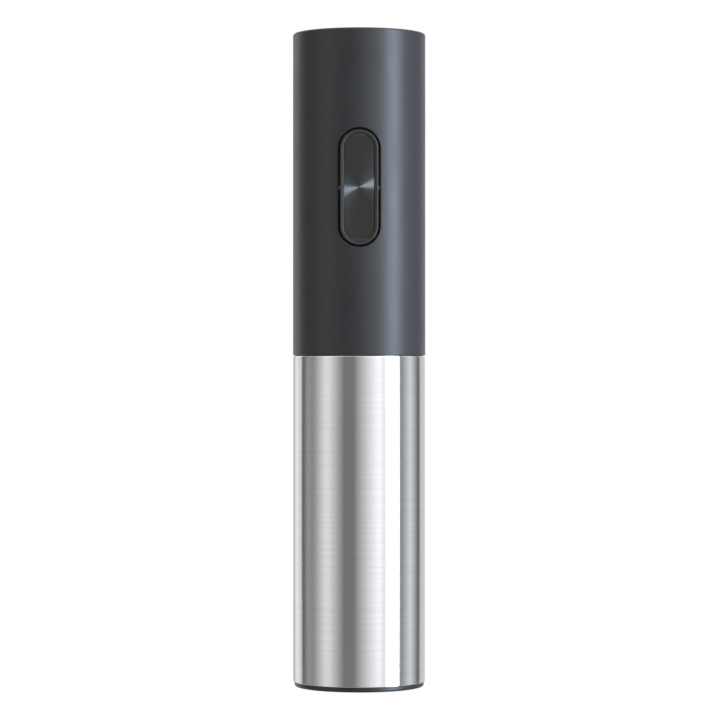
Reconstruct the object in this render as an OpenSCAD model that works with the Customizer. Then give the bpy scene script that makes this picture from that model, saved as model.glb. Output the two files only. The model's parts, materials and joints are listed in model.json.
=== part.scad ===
// Battery-driven wine opener: a round handle over a brushed sleeve that fits on a bottle neck.
// The base stands on Z = 0 at the origin, +Z runs up the body, and the rocker faces -Y.
// Pressing the rocker turns the worm through a three-stage planetary gearbox. The cork guide
// rides on the worm like a nut, held from turning by two wings in the neck guide's grooves.

/* [Body] */
// Outer diameter of the handle
body_d = 48.5; // [47.9:0.1:62]
// Height of the handle, from the seam to its top edge
handle_h = 118; // [116:1:150]
// Height of the metal sleeve
sleeve_h = 119.2; // [118:0.2:150]
// Height of the base ring that shows below the sleeve
base_h = 1.8; // [1.4:0.1:3]
// Wall of the handle shell
shell_t = 2; // [1.6:0.1:2]
// Wall of the metal sleeve
sleeve_t = 0.6; // [0.4:0.1:0.8]
// How far the sleeve stands in from the handle, on the radius
sleeve_step = 0.1; // [0:0.05:0.3]
// Wall of the plastic tube behind the sleeve
tube_t = 1.85; // [1.7:0.05:1.9]
// Wall of the frame halves
frame_t = 2; // [1.6:0.1:2]
// Rounding of the handle's top edge
top_edge_r = 0.8; // [0.4:0.1:1.2]
// Height of the dark line between the sleeve and the handle
seam_gap = 0.2; // [0.1:0.05:0.4]

/* [Fits] */
// Gap between nested pieces that don't move, on the radius
seat_gap = 0.1; // [0.05:0.05:0.15]
// Gap between a shaft or pin and what turns on it, on the radius
run_gap = 0.05; // [0.03:0.01:0.08]
// Gap between a sliding piece and the walls that it passes
pass_gap = 0.3; // [0.2:0.05:0.4]

/* [Bottle and cork] */
// Bore that centres the bottle's mouth
mouth_bore_d = 31.5; // [30.5:0.5:32]
// Height of that bore
mouth_bore_h = 23; // [18:0.5:24]
// Clear diameter between the ribs that hold the cork
cork_bore_d = 25.8; // [25:0.2:27]
// Number of cork ribs
cork_ribs = 10; // [6:4:10]
// How far the bottle's rim goes in past the resting cork guide
sink_depth = 17; // [12:1:21]

/* [Worm] */
// Outer diameter of the worm
worm_d = 9; // [8:0.5:11]
// Diameter of the worm's wire
wire_d = 2.8; // [2.3:0.1:3]
// Rise of the worm for each turn
worm_pitch = 9; // [8:0.1:11]
// Length of the worm's coil
worm_len = 68; // [66:1:69]
// Thickness of the cork guide
guide_h = 7; // [6:0.5:7]

/* [Gearbox] */
// Module of the gear teeth
gear_module = 0.6; // [0.5:0.05:0.6]
// Teeth of each sun gear
sun_teeth = 12; // [12:3:12]
// Teeth of each planet gear
planet_teeth = 15; // [15:3:15]
// Pressure angle of the teeth
pressure_angle = 25; // [22:1:26]
// Play taken off each tooth flank
tooth_play = 0.03; // [0.02:0.005:0.04]
// Face width of the third stage's planets, next to the spindle
stage_3_w = 6; // [4:0.5:6.5]
// Face width of the second stage's planets
stage_2_w = 5; // [4:0.5:5.5]
// Face width of the first stage's planets, next to the motor
stage_1_w = 4.5; // [3.5:0.5:5]
// Wall of the gear case outside the teeth
case_t = 3.7; // [3.5:0.1:3.8]
// Diameter of the pins that carry the planets
planet_pin_d = 2.5; // [2:0.1:3]

/* [Motor] */
// Diameter of the motor can
motor_d = 24.4; // [20:0.1:25]
// Length of the motor can
motor_len = 29; // [27:0.5:30]
// Diameter of the motor shaft
motor_shaft_d = 2; // [1.5:0.1:2.4]

/* [Cells] */
// Diameter of a cell
cell_d = 14.5; // [12:0.1:14.5]
// Length of a cell, with its button
cell_len = 50.5; // [42:0.5:51]
// Gap around a cell in the tray
cell_gap = 0.15; // [0.1:0.05:0.2]
// Wall of the tray's tubes
tray_t = 0.8; // [0.6:0.1:0.9]

/* [Switch] */
// Width of the rocker
rocker_w = 13.8; // [11:0.1:14.2]
// Height of the rocker
rocker_h = 41.6; // [34:0.1:42]
// Gap around the rocker
rocker_gap = 0.7; // [0.5:0.05:0.9]
// Depth of the rocker's middle below the handle's top edge
rocker_drop = 57.4; // [55:0.2:60]
// Width of the rim around the rocker's metal inlay
rocker_rim = 1.35; // [1:0.05:2]
// Diameter of the rocker's pin
rocker_pin_d = 1.4; // [1.2:0.1:1.6]

/* [Lid] */
// Diameter of the battery lid
lid_d = 40.8; // [40:0.1:41]
// Thickness of the lid's flange
lid_t = 2.1; // [1.8:0.1:2.4]
// How far the lid stands below the handle's top edge
lid_recess = 0.15; // [0.1:0.05:0.4]

/* [Hidden] */
$fn = 96;

// Radii of the nested walls, from the outside in
body_r = body_d / 2;
shell_in_r = body_r - shell_t;
frame_r = shell_in_r - seat_gap;
sleeve_r = body_r - sleeve_step;
tube_r = sleeve_r - sleeve_t - seat_gap;
tube_in_r = tube_r - tube_t;
frame_low_r = tube_in_r - seat_gap;
base_r = sleeve_r - 0.45;

// Heights of the outside
seam_z = base_h + sleeve_h;
seat_z = seam_z + seam_gap;
top_z = seam_z + handle_h;
flange_t = 2.8;
flange_z = base_h + flange_t;

// Screws
screw_r = 0.8;
screw_head_r = 1.5;
screw_head_h = 1.1;

// Gearbox: heights from the spindle's side up
gear_play = 0.1;
cover_t = 5;
cover_z = seam_z - 9.6;
case_z = cover_z + cover_t;
washer_t = 0.4;
carrier_3_z = case_z + washer_t;
carrier_3_t = 2.6;
carrier_t = 2;
clip_t = 0.4;
planet_3_z = carrier_3_z + carrier_3_t + 1;
carrier_2_z = planet_3_z + stage_3_w + 0.5;
planet_2_z = carrier_2_z + carrier_t + 0.4;
carrier_1_z = planet_2_z + stage_2_w + 0.5;
planet_1_z = carrier_1_z + carrier_t + 0.4;
plate_z = planet_1_z + stage_1_w + 0.5;
plate_t = 1.5;
motor_z = plate_z + plate_t;

// Gear sizes
ring_teeth = sun_teeth + 2 * planet_teeth;
orbit_r = gear_module * (sun_teeth + planet_teeth) / 2;
addendum = 0.9 * gear_module;
dedendum = 1.2 * gear_module;
ring_root_r = gear_module * ring_teeth / 2 + dedendum;
ring_tip_r = gear_module * ring_teeth / 2 - addendum;
case_r = ring_root_r + case_t;
carrier_r = ring_tip_r - 0.45;
pin_r = planet_pin_d / 2;
pin_boss_r = pin_r + 0.7;
case_screw_orbit = ring_root_r + 2;
case_screw_r = 0.9;

// Spindle
journal_r = 4;
bush_r = journal_r + run_gap;
bush_out_r = 5.5;
collar_r = 5;
drive_w = 6;
clip_in_r = 2.4;
spindle_top_z = planet_3_z - 0.2;
collar_top_z = cover_z - gear_play;
collar_len = 10;
collar_z = collar_top_z - collar_len;
shank_len = 8.4;

// Worm: the coil stands below the collar, and its wire bends in to the axis
wire_r = wire_d / 2;
coil_r = worm_d / 2 - wire_r;
bend_h = worm_pitch / 2;
coil_top_z = collar_z - 0.5 - bend_h;
tip_z = coil_top_z - worm_len;
tip_turns = 0.75;
wire_sides = 10;
rings_per_turn = 18;

// Cork guide and chamber
guide_z = tip_z - 1;
shoulder_z = guide_z + sink_depth;
cork_r = cork_bore_d / 2;
disc_r = cork_r - pass_gap - 0.2;
relief_r = mouth_bore_d / 2 + 0.55;
wing_r = relief_r + 1.9;
wing_w = 5;
groove_w = wing_w + 2 * pass_gap;
groove_r = wing_r + pass_gap;
guide_wall_r = groove_r + 1.5;
rib_w = 2;
cap_t = 4.8;
cap_z = cover_z - cap_t;
cap_r = frame_low_r - frame_t - seat_gap;
rib_top_z = cap_z - 9.5;
guide_screw_orbit = cap_r - screw_head_r - 0.1;
cover_screw_orbit = 11;
lead_in_r = mouth_bore_d / 2 + 3.1;

// Motor
motor_r = motor_d / 2;
shaft_r = motor_shaft_d / 2;
can_t = 0.8;
can_in_r = motor_r - can_t;
front_wall_t = 1.2;
bell_t = 1.5;
can_top_z = motor_z + motor_len - bell_t;
bell_top_z = motor_z + motor_len;
motor_boss_r = 3;
motor_screw_x = 8;
brush_z = can_top_z - 5.4;
commutator_r = 2.5;
tab_x = 5.5;
tab_t = 0.5;
tab_top_z = bell_top_z + 3.8;
magnet_t = 1.7;
air_gap = 0.4;
armature_r = can_in_r - magnet_t - air_gap;
stack_z = motor_z + 5.3;
stack_top_z = brush_z - 3;

// Cells and tray: heights from the top edge down
cell_r = cell_d / 2;
cell_x = cell_r + 0.1;
cell_bore_r = cell_r + cell_gap;
lobe_r = cell_bore_r + tray_t;
nub_r = 2.75;
nub_h = 1;
lid_z = top_z - lid_recess - lid_t;
strip_t = 0.4;
spring_h = 2.5;
touch_gap = 0.05;
cell_top_z = lid_z - strip_t - spring_h + 0.15;
cell_z = cell_top_z - cell_len;
floor_z = cell_z - spring_h - strip_t;
floor_t = 2.2;
tray_z = floor_z - floor_t;
tray_top_z = cell_top_z - 3;
tray_front_y = -(cell_x + lobe_r);
terminal_x = -(cell_x + 5.15);
tray_screw_orbit = frame_r - 3.15;
tray_screw_angles = [-20, 20, 160, 200];
screw_len = 8;
spring_wire_r = 0.3;

// Lid and its seat
lid_r = lid_d / 2;
plug_r = lid_r - 1.8;
plug_t = 1.6;
plug_h = 1.8;
ledge_t = 1.5;

// Rocker: places on Y run in from the face
rocker_z = top_z - rocker_drop;
slot_w = rocker_w + 2 * rocker_gap;
slot_h = rocker_h + 2 * rocker_gap;
face_y = -(body_r - 0.15);
skin_t = 1.5;
inlay_t = 0.6;
skirt_y = face_y + 3.5;
skirt_t = 1.2;
rail_y = face_y + 3.95;
foot_y = face_y + 4.65;
pivot_y = face_y + 5.4;
mat_y = face_y + 7;
mat_t = 0.4;
board_y = mat_y + mat_t;
board_t = 1;
board_back_y = board_y + board_t;
pin_r_rocker = rocker_pin_d / 2;
boss_r = pin_r_rocker + 0.7;
rail_x = rocker_w / 2 + 0.4;
rail_t = 1.9;
bracket_w = rail_x + rail_t;
window_w = bracket_w + 1.2;
board_w = 2 * rail_x - 1.8;
board_h = rocker_h - 3.6;
bar_y = rail_y + 1.95;
bar_h = 3;
dome_z = rocker_h / 2 - 6.8;
window_z = rocker_z - slot_h / 2 - 0.5;
hook_w = 10;
bracket_screw_z = rocker_z + board_h / 2 + 5;
bracket_top_z = bracket_screw_z + 2;

// Frame
frame_screw_x = case_r + seat_gap + 2;
frame_screw_seat_y = -6.5;
frame_screw_zs = [case_z + 10.6, tray_z - 18];
snap_z = tray_z - 10;
snap_h = 0.5;
snap_r = 2;

// Leads: a catmull curve through the points, from the contact to the switch board
lead_r = 0.6;
lead_sides = 8;
tab_z = tray_z - 2.2;
lead_end_y = board_back_y - 0.6;
lead_turn_y = board_back_y + 1.1;
// Where each lead goes through the board: battery black and red, motor red and black
lead_holes = [[-4, -7.6], [-1.5, -11.1], [4, -14.1], [1.5, -15.6]];
battery_black = [[terminal_x, -cell_x - 0.23, tab_z], [terminal_x, -cell_x - 1.2, tab_z],
    [terminal_x + 0.5, -10.5, tab_z + 0.3], [-9, -13, tab_z - 0.2],
    [-5.6, -13.4, rocker_z - 6.8], [-4, lead_turn_y, rocker_z - 7.6], [-4, lead_end_y, rocker_z - 7.6]];
battery_red = [[terminal_x, cell_x - 0.23, tab_z], [terminal_x, cell_x - 1.2, tab_z],
    [-13.5, 4, tab_z], [-14.3, 0, tab_z - 0.6],
    [-14.4, -6, tab_z - 1.6], [-12.8, -10.8, tab_z - 2.4], [-8.5, -13.4, rocker_z - 9.4],
    [-3.2, -13.6, rocker_z - 10.8], [-1.5, lead_turn_y, rocker_z - 11.1], [-1.5, lead_end_y, rocker_z - 11.1]];
motor_red = [[tab_x + tab_t / 2, -1.2, tab_top_z - 0.9], [5.75, -5, tab_top_z - 0.8],
    [5.6, -9.5, tab_top_z - 0.9], [5, -12.8, rocker_z - 9.2], [4.2, -13.5, rocker_z - 12.4],
    [4, lead_turn_y, rocker_z - 14.1], [4, lead_end_y, rocker_z - 14.1]];
motor_black = [[-tab_x - tab_t / 2, -1.2, tab_top_z - 0.9], [-5.75, -5, tab_top_z - 0.8],
    [-4.5, -9.5, tab_top_z - 0.9], [-1.5, -12.8, rocker_z - 9.2], [0.8, -13.5, rocker_z - 13.6],
    [1.5, lead_turn_y, rocker_z - 15.6], [1.5, lead_end_y, rocker_z - 15.6]];

// ---- Functions -------------------------------------------------------------------------

function unit(v) = v / norm(v);

function arc(center, r, from, to, steps) = [for (i = [0:steps])
    let(a = from + (to - from) * i / steps) center + r * [cos(a), sin(a)]];

// Involute of a base circle, in degrees
function involute(a) = tan(a) * 180 / PI - a;

// Half the angle that a tooth takes at radius r
function tooth_half(teeth, base, r, play) =
    let(pitch_r = gear_module * teeth / 2, shift = play / pitch_r * 180 / PI)
    90 / teeth - shift + involute(pressure_angle) - involute(acos(min(1, base / r)));

// Outline of a gear with a tooth centred on +X; a ring's hole is one with negative play
function gear_outline(teeth, tip, root, play, steps = 4) =
    let(base = gear_module * teeth / 2 * cos(pressure_angle), low = max(base, root))
    [for (k = [0:teeth - 1], side = [-1, 1], i = [0:steps + 1])
        let(
            j = side < 0 ? i - 1 : steps - i,
            r = j < 0 ? root : low + (tip - low) * j / steps,
            half = tooth_half(teeth, base, max(r, low), play),
            a = 360 * k / teeth + side * half)
        r * [cos(a), sin(a)]];

// Points and faces of a round tube whose rings lie across a path
function tube_points(path, radii, sides, across) = [for (i = [0:len(path) - 1])
    let(
        before = path[max(i - 1, 0)],
        after = path[min(i + 1, len(path) - 1)],
        t = unit(after - before),
        u = unit(across[i] - (across[i] * t) * t),
        v = cross(t, u))
    for (k = [0:sides - 1]) path[i] + radii[i] * (cos(360 * k / sides) * u + sin(360 * k / sides) * v)];

function tube_faces(rings, sides) = concat(
    [[for (k = [0:sides - 1]) k]],
    [[for (k = [sides - 1:-1:0]) (rings - 1) * sides + k]],
    [for (i = [0:rings - 2], k = [0:sides - 1])
        let(a = i * sides + k, b = i * sides + (k + 1) % sides) [a, a + sides, b]],
    [for (i = [0:rings - 2], k = [0:sides - 1])
        let(b = i * sides + (k + 1) % sides, c = i * sides + k + sides) [b, c, b + sides]]);

// One point of a catmull curve between b and c, a share s of the way
function catmull(a, b, c, d, s) = 0.5 * (2 * b + (c - a) * s + (2 * a - 5 * b + 4 * c - d) * s * s
    + (3 * b - a - 3 * c + d) * s * s * s);

function smooth(p, steps) = concat([for (i = [0:len(p) - 2], j = [0:steps - 1])
    catmull(p[max(i - 1, 0)], p[i], p[i + 1], p[min(i + 2, len(p) - 1)], j / steps)], [p[len(p) - 1]]);

// Angle of the worm's wire at height z
function worm_angle(z) = 360 * (z - tip_z) / worm_pitch;

// How far in from the coil the wire has bent at height z
function coil_share(z) = z < coil_top_z ? 1
    : z > coil_top_z + bend_h ? 0 : (1 + cos(180 * (z - coil_top_z) / bend_h)) / 2;

// ---- Shapes used by several pieces ------------------------------------------------------

module ring(r_out, r_in, z, h) {
    translate([0, 0, z]) rotate_extrude() translate([r_in, 0]) square([r_out - r_in, h]);
}

module disc(r, z, h) {
    translate([0, 0, z]) cylinder(r = r, h = h);
}

module orbit(r, angles, z) {
    for (a = angles) rotate([0, 0, a]) translate([r, 0, z]) children();
}

// A prism from front_y back to back_y whose 2D outline lies in X and Z
module across_y(front_y, back_y) {
    translate([0, back_y, 0]) rotate([90, 0, 0]) linear_extrude(back_y - front_y) children();
}

module pill(w, h) {
    translate([0, h / 2 - w / 2]) circle(d = w);
    translate([0, w / 2 - h / 2]) circle(d = w);
    square([w, h - w], center = true);
}

module box(from, to) {
    translate(from) cube(to - from);
}

// A screw with its head above the origin and its shank below it
module screw(shank_r, len, head_r, head_h) {
    translate([0, 0, -len]) cylinder(r = shank_r, h = len);
    difference() {
        cylinder(r = head_r, h = head_h);
        translate([0, 0, head_h * 0.45]) cylinder(r = head_r * 0.45, h = head_h, $fn = 6);
    }
}

module tube_along(path, radii, sides, across) {
    polyhedron(tube_points(path, radii, sides, across), tube_faces(len(path), sides));
}

module lead(points) {
    path = smooth(points, 4);
    tube_along(path, [for (p = path) lead_r], lead_sides, [for (p = path) [0.2, 0.3, 1]]);
}

module gear(teeth, h, play) {
    pitch_r = gear_module * teeth / 2;
    linear_extrude(h) polygon(gear_outline(teeth, pitch_r + addendum, pitch_r - dedendum, play));
}

// A conical spring from its wide foot up to its narrow end
module cell_spring(h) {
    turns = 2.5;
    steps = 25;
    path = [for (i = [0:steps]) let(s = i / steps, a = 360 * turns * s, r = 4.6 - 2 * s)
        [r * cos(a), r * sin(a), spring_wire_r + (h - 2 * spring_wire_r) * s]];
    across = [for (i = [0:steps]) let(a = 360 * turns * i / steps) [cos(a), sin(a), 0]];
    tube_along(path, [for (p = path) spring_wire_r], 6, across);
}

// ---- Handle ------------------------------------------------------------------------------

module upper_shell() {
    chamfer = 0.25;
    seat_r = lid_r + 0.2;
    ledge_r = plug_r + 0.2;
    outline = concat(
        [[shell_in_r, seat_z], [body_r - chamfer, seat_z], [body_r, seat_z + chamfer]],
        arc([body_r - top_edge_r, top_z - top_edge_r], top_edge_r, 0, 90, 6),
        [[seat_r, top_z], [seat_r, lid_z], [ledge_r, lid_z],
            [ledge_r, lid_z - ledge_t], [shell_in_r, lid_z - ledge_t]]);
    color("#404244") difference() {
        rotate_extrude() polygon(outline);
        across_y(-body_r - 1, -shell_in_r / 2) translate([0, rocker_z]) pill(slot_w, slot_h);
        orbit(frame_r, [60, 120], snap_z) rotate([0, 90, 0])
            cylinder(r = snap_r + seat_gap, h = snap_h + 2 * seat_gap);
    }
}

module battery_lid() {
    edge_r = 0.3;
    lid_top_z = lid_z + lid_t;
    outline = concat(
        [[0, lid_z], [plug_r - plug_t, lid_z], [plug_r - plug_t, lid_z - plug_h],
            [plug_r, lid_z - plug_h], [plug_r, lid_z], [lid_r, lid_z]],
        arc([lid_r - edge_r, lid_top_z - edge_r], edge_r, 0, 90, 3),
        [[0, lid_top_z]]);
    color("#38393b") difference() {
        rotate_extrude() polygon(outline);
        // A thumbnail notch at the back
        translate([0, lid_r + 1.5, lid_top_z - 0.9]) cylinder(r = 4, h = 2);
    }
}

// Two strips under the lid: each joins a cell's button to its neighbour's base
module lid_contacts() {
    h = lid_z - strip_t - cell_top_z - touch_gap;
    color("#c9cbc8") for (side = [-1, 1]) {
        union() {
            box([-cell_x - 4.5, side * cell_x - 4, lid_z - strip_t], [cell_x + 4.5, side * cell_x + 4, lid_z]);
            translate([side * cell_x, side * cell_x, lid_z - strip_t - h]) cylinder(r = 2, h = h);
        }
        translate([-side * cell_x, side * cell_x, lid_z - strip_t]) mirror([0, 0, 1]) cell_spring(h);
    }
}

// ---- Cells and tray ----------------------------------------------------------------------

module cell(x, y, button_up) {
    body_z = button_up ? cell_z : cell_z + nub_h;
    nub_z = button_up ? cell_top_z - nub_h : cell_z;
    translate([x, y, 0]) {
        disc(cell_r, body_z, cell_len - nub_h);
        disc(nub_r, nub_z, nub_h);
    }
}

module cell_1() { color("#5d6b4b") cell(-cell_x, -cell_x, true); }
module cell_2() { color("#5d6b4b") cell(cell_x, -cell_x, false); }
module cell_3() { color("#5d6b4b") cell(cell_x, cell_x, true); }
module cell_4() { color("#5d6b4b") cell(-cell_x, cell_x, false); }

module battery_tray() {
    color("#2b2d30") difference() {
        union() {
            disc(frame_r, tray_z, floor_t);
            for (x = [-1, 1], y = [-1, 1]) translate([x * cell_x, y * cell_x, 0])
                disc(lobe_r, floor_z, tray_top_z - floor_z);
            // Boss that the switch bracket is screwed to
            box([-3, board_back_y, bracket_screw_z - 3], [3, -cell_x - 2.2, bracket_screw_z + 3]);
        }
        for (x = [-1, 1], y = [-1, 1]) translate([x * cell_x, y * cell_x, 0])
            disc(cell_bore_r, floor_z, tray_top_z);
        // Room for the bracket in the floor's front edge
        box([-window_w, -body_r - 1, tray_z - 1], [window_w, tray_front_y, floor_z + 1]);
        for (y = [-1, 1]) box([terminal_x - 1, y * cell_x - 0.2, tray_z - 1],
            [terminal_x + 1, y * cell_x + 0.2, floor_z + 1]);
        // Passage for the strip that joins two wells
        box([cell_x - 4 - seat_gap, -cell_x, floor_z],
            [cell_x + 4 + seat_gap, cell_x, floor_z + strip_t + seat_gap]);
        orbit(tray_screw_orbit, tray_screw_angles, tray_z - 1) cylinder(r = screw_r, h = floor_t + 2);
        across_y(board_back_y - 1, board_back_y + 5.5) translate([0, bracket_screw_z]) circle(r = screw_r);
    }
}

module bridge_contact() {
    color("#c9cbc8") {
        union() {
            box([cell_x - 4, -cell_x - 4.5, floor_z], [cell_x + 4, cell_x + 4.5, floor_z + strip_t]);
            translate([cell_x, -cell_x, 0]) disc(2, floor_z + strip_t, spring_h);
        }
        translate([cell_x, cell_x, floor_z + strip_t]) cell_spring(spring_h);
    }
}

module terminal_contacts() {
    color("#c9cbc8") {
        for (y = [-1, 1]) union() {
            box([terminal_x - 1, y * cell_x - 4, floor_z], [-cell_x + 4, y * cell_x + 4, floor_z + strip_t]);
            box([terminal_x - 1, y * cell_x - 0.2, tab_z - 1.2], [terminal_x + 1, y * cell_x + 0.2, floor_z]);
            if (y > 0) translate([-cell_x, cell_x, 0]) disc(2, floor_z + strip_t, spring_h);
        }
        translate([-cell_x, -cell_x, floor_z + strip_t]) cell_spring(spring_h);
    }
}

module tray_screws() {
    color("#8f9296") {
        orbit(tray_screw_orbit, tray_screw_angles, floor_z)
            screw(screw_r, screw_len, screw_head_r, screw_head_h);
        translate([0, bar_y, bracket_screw_z]) rotate([90, 0, 0])
            screw(screw_r, screw_len, screw_head_r, screw_head_h);
    }
}

// ---- Frame -------------------------------------------------------------------------------

// Half of the frame's tube, with the ribs that grip the gearbox and the motor
module frame_half_tube() {
    rib_t = 2;
    motor_grip_r = motor_r + seat_gap;
    case_grip_r = case_r + seat_gap;
    rotate_extrude(angle = 180) {
        translate([frame_low_r - frame_t, cap_z]) square([frame_t, seat_z - cap_z]);
        translate([frame_r - frame_t, seat_z]) square([frame_t, tray_z - seat_z]);
        for (z = [case_z + 5.5, plate_z - 6]) translate([case_grip_r, z])
            square([frame_r - frame_t / 2 - case_grip_r, rib_t]);
        for (z = [motor_z, motor_z + 20]) translate([motor_grip_r, z])
            square([frame_r - frame_t / 2 - motor_grip_r, rib_t]);
    }
}

// Bosses for the frame's screws, each with a web that joins it to the tube
module frame_screw_bosses(from_y, to_y) {
    web_end_x = frame_r - frame_t + 0.3;
    for (x = [-1, 1], z = frame_screw_zs) {
        translate([x * frame_screw_x, to_y, z]) rotate([90, 0, 0]) cylinder(r = 1.8, h = to_y - from_y);
        translate([x * (frame_screw_x + web_end_x) / 2, (from_y + to_y) / 2, z])
            cube([web_end_x - frame_screw_x, to_y - from_y, 2], center = true);
    }
}

module frame_screw_holes() {
    for (x = [-1, 1], z = frame_screw_zs) translate([x * frame_screw_x, 0, z]) rotate([90, 0, 0]) {
        translate([0, 0, -6]) cylinder(r = screw_r, h = 20);
        translate([0, 0, -frame_screw_seat_y]) cylinder(r = screw_head_r + 0.2, h = 10);
    }
}

// Bosses under the tray, cut off where they would stand out of the frame
module tray_bosses(angles) {
    intersection() {
        orbit(tray_screw_orbit, angles, tray_z - screw_len) cylinder(r = 2.3, h = screw_len);
        disc(frame_r - 0.5, tray_z - screw_len, screw_len);
    }
}

module frame_front() {
    color("#2f3134") difference() {
        union() {
            rotate([0, 0, 180]) frame_half_tube();
            frame_screw_bosses(frame_screw_seat_y, 0);
            tray_bosses([-20, 200]);
        }
        frame_screw_holes();
        orbit(tray_screw_orbit, [-20, 200], tray_z - screw_len - 1) cylinder(r = screw_r, h = screw_len + 2);
        box([-window_w, -body_r, window_z], [window_w, tray_front_y + 3, tray_z + 1]);
    }
}

module frame_rear() {
    color("#2f3134") difference() {
        union() {
            frame_half_tube();
            frame_screw_bosses(0, 8);
            tray_bosses([20, 160]);
            orbit(frame_r - 1, [60, 120], snap_z) rotate([0, 90, 0]) cylinder(r = snap_r, h = 1 + snap_h);
        }
        frame_screw_holes();
        orbit(tray_screw_orbit, [20, 160], tray_z - screw_len - 1) cylinder(r = screw_r, h = screw_len + 2);
    }
}

module frame_screws() {
    color("#8f9296") for (x = [-1, 1], z = frame_screw_zs)
        translate([x * frame_screw_x, frame_screw_seat_y, z]) rotate([90, 0, 0])
            screw(screw_r, 12, screw_head_r, screw_head_h);
}

// ---- Switch ------------------------------------------------------------------------------

module rocker() {
    skin_y = face_y + skin_t;
    color("#3a3b3d") difference() {
        union() {
            difference() {
                across_y(face_y, skirt_y) translate([0, rocker_z]) pill(rocker_w, rocker_h);
                across_y(skin_y, skirt_y + 1) translate([0, rocker_z])
                    pill(rocker_w - 2 * skirt_t, rocker_h - 2 * skirt_t);
            }
            for (z = [-1, 1])
                across_y(skin_y - 0.2, foot_y) translate([0, rocker_z + z * dome_z]) circle(r = 1.6);
            box([-6, skin_y - 0.2, rocker_z - 1], [6, pivot_y, rocker_z + 1]);
            translate([-6, pivot_y, rocker_z]) rotate([0, 90, 0]) cylinder(r = boss_r, h = 12);
        }
        across_y(face_y - 1, face_y + inlay_t) translate([0, rocker_z])
            pill(rocker_w - 2 * rocker_rim, rocker_h - 2 * rocker_rim);
        translate([-7, pivot_y, rocker_z]) rotate([0, 90, 0]) cylinder(r = pin_r_rocker + run_gap, h = 14);
    }
}

module rocker_inlay() {
    color("#55575a") across_y(face_y + 0.05, face_y + inlay_t) translate([0, rocker_z])
        pill(rocker_w - 2 * rocker_rim - 0.1, rocker_h - 2 * rocker_rim - 0.1);
}

module rocker_pin() {
    color("#b9bcc0") translate([-bracket_w, pivot_y, rocker_z]) rotate([0, 90, 0])
        cylinder(r = pin_r_rocker, h = 2 * bracket_w);
}

module switch_bracket() {
    bar_z = board_h / 2 + 0.3;
    color("#26282b") difference() {
        union() {
            for (x = [-1, 1]) translate([x * (rail_x + rail_t / 2), 0, 0])
                box([-rail_t / 2, rail_y, rocker_z - 4], [rail_t / 2, board_back_y, rocker_z + 4]);
            for (x = [-1, 1]) translate([x * (rail_x + rail_t / 2), 0, 0])
                box([-rail_t / 2, bar_y, rocker_z - bar_z - bar_h],
                    [rail_t / 2, board_back_y, rocker_z + bar_z + bar_h]);
            box([-bracket_w, bar_y, rocker_z - bar_z - bar_h], [bracket_w, board_back_y, rocker_z - bar_z]);
            box([-bracket_w, bar_y, rocker_z + bar_z], [bracket_w, board_back_y, bracket_top_z]);
            // Tongue that hooks behind the frame below the window
            box([-hook_w / 2, bar_y, window_z - 4], [hook_w / 2, board_back_y, rocker_z - bar_z - bar_h + 1]);
            // Stops that the board rests on
            for (z = [-1, 1]) translate([0, 0, rocker_z + z * (bar_z - 0.6)])
                box([-rail_x, bar_y, -0.6], [rail_x, board_y, 0.6]);
        }
        translate([-bracket_w - 1, pivot_y, rocker_z]) rotate([0, 90, 0])
            cylinder(r = pin_r_rocker, h = 2 * bracket_w + 2);
        across_y(bar_y - 1, board_back_y + 1) translate([0, bracket_screw_z]) circle(r = screw_r);
    }
}

module switch_board() {
    color("#2f5a3a") difference() {
        box([-board_w / 2, board_y, rocker_z - board_h / 2],
            [board_w / 2, board_back_y, rocker_z + board_h / 2]);
        for (p = lead_holes) across_y(board_y - 1, board_back_y + 1) translate([p[0], rocker_z + p[1]])
            circle(r = lead_r + 0.15);
    }
}

module board_chips() {
    back = board_back_y;
    color("#1d1e20") {
        box([-5, back, rocker_z - 16.6], [-1.6, back + 1.2, rocker_z - 13.2]);
        box([2.6, back, rocker_z - 18.4], [5.6, back + 1.1, rocker_z - 16.9]);
        box([-5.4, back, rocker_z - 18.6], [-2.4, back + 1, rocker_z - 17.4]);
    }
}

module dome_mat() {
    mat_h = board_h - 3;
    color("#c9c6bd") union() {
        box([-board_w / 2 + 0.8, mat_y, rocker_z - mat_h / 2],
            [board_w / 2 - 0.8, board_y, rocker_z + mat_h / 2]);
        for (z = [-1, 1]) {
            translate([0, mat_y + 0.1, rocker_z + z * dome_z]) rotate([90, 0, 0])
                cylinder(r1 = 3, r2 = 2.1, h = 1.7);
            across_y(foot_y + 0.1, mat_y) translate([0, rocker_z + z * dome_z]) circle(r = 1.8);
        }
    }
}

module battery_leads() {
    color("#8c1f1f") {
        lead(battery_black);
        lead(battery_red);
    }
}

module motor_leads() {
    color("#202124") {
        lead(motor_red);
        lead(motor_black);
    }
}

// ---- Motor -------------------------------------------------------------------------------

module motor_can() {
    color("#a9adb1") difference() {
        union() {
            disc(motor_r, motor_z, can_top_z - motor_z);
            disc(motor_boss_r, plate_z + 0.2, plate_t);
        }
        disc(can_in_r, motor_z + front_wall_t, motor_len);
        disc(shaft_r + run_gap, plate_z, plate_t + 3);
        orbit(motor_screw_x, [0, 180], motor_z - 1) cylinder(r = 0.75, h = front_wall_t + 2);
    }
}

module motor_end_bell() {
    color("#e3e0d6") difference() {
        union() {
            disc(can_in_r, can_top_z - 1.5, 1.6);
            disc(motor_r, can_top_z, bell_t);
            disc(motor_boss_r, bell_top_z - 0.1, 1.4);
        }
        disc(shaft_r + run_gap, can_top_z - 2, 4.9);
        for (x = [-1, 1]) translate([x * (tab_x + tab_t / 2), 0, 0])
            box([-tab_t / 2, -1.2, can_top_z - 2], [tab_t / 2, 1.2, bell_top_z + 1]);
    }
}

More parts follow.
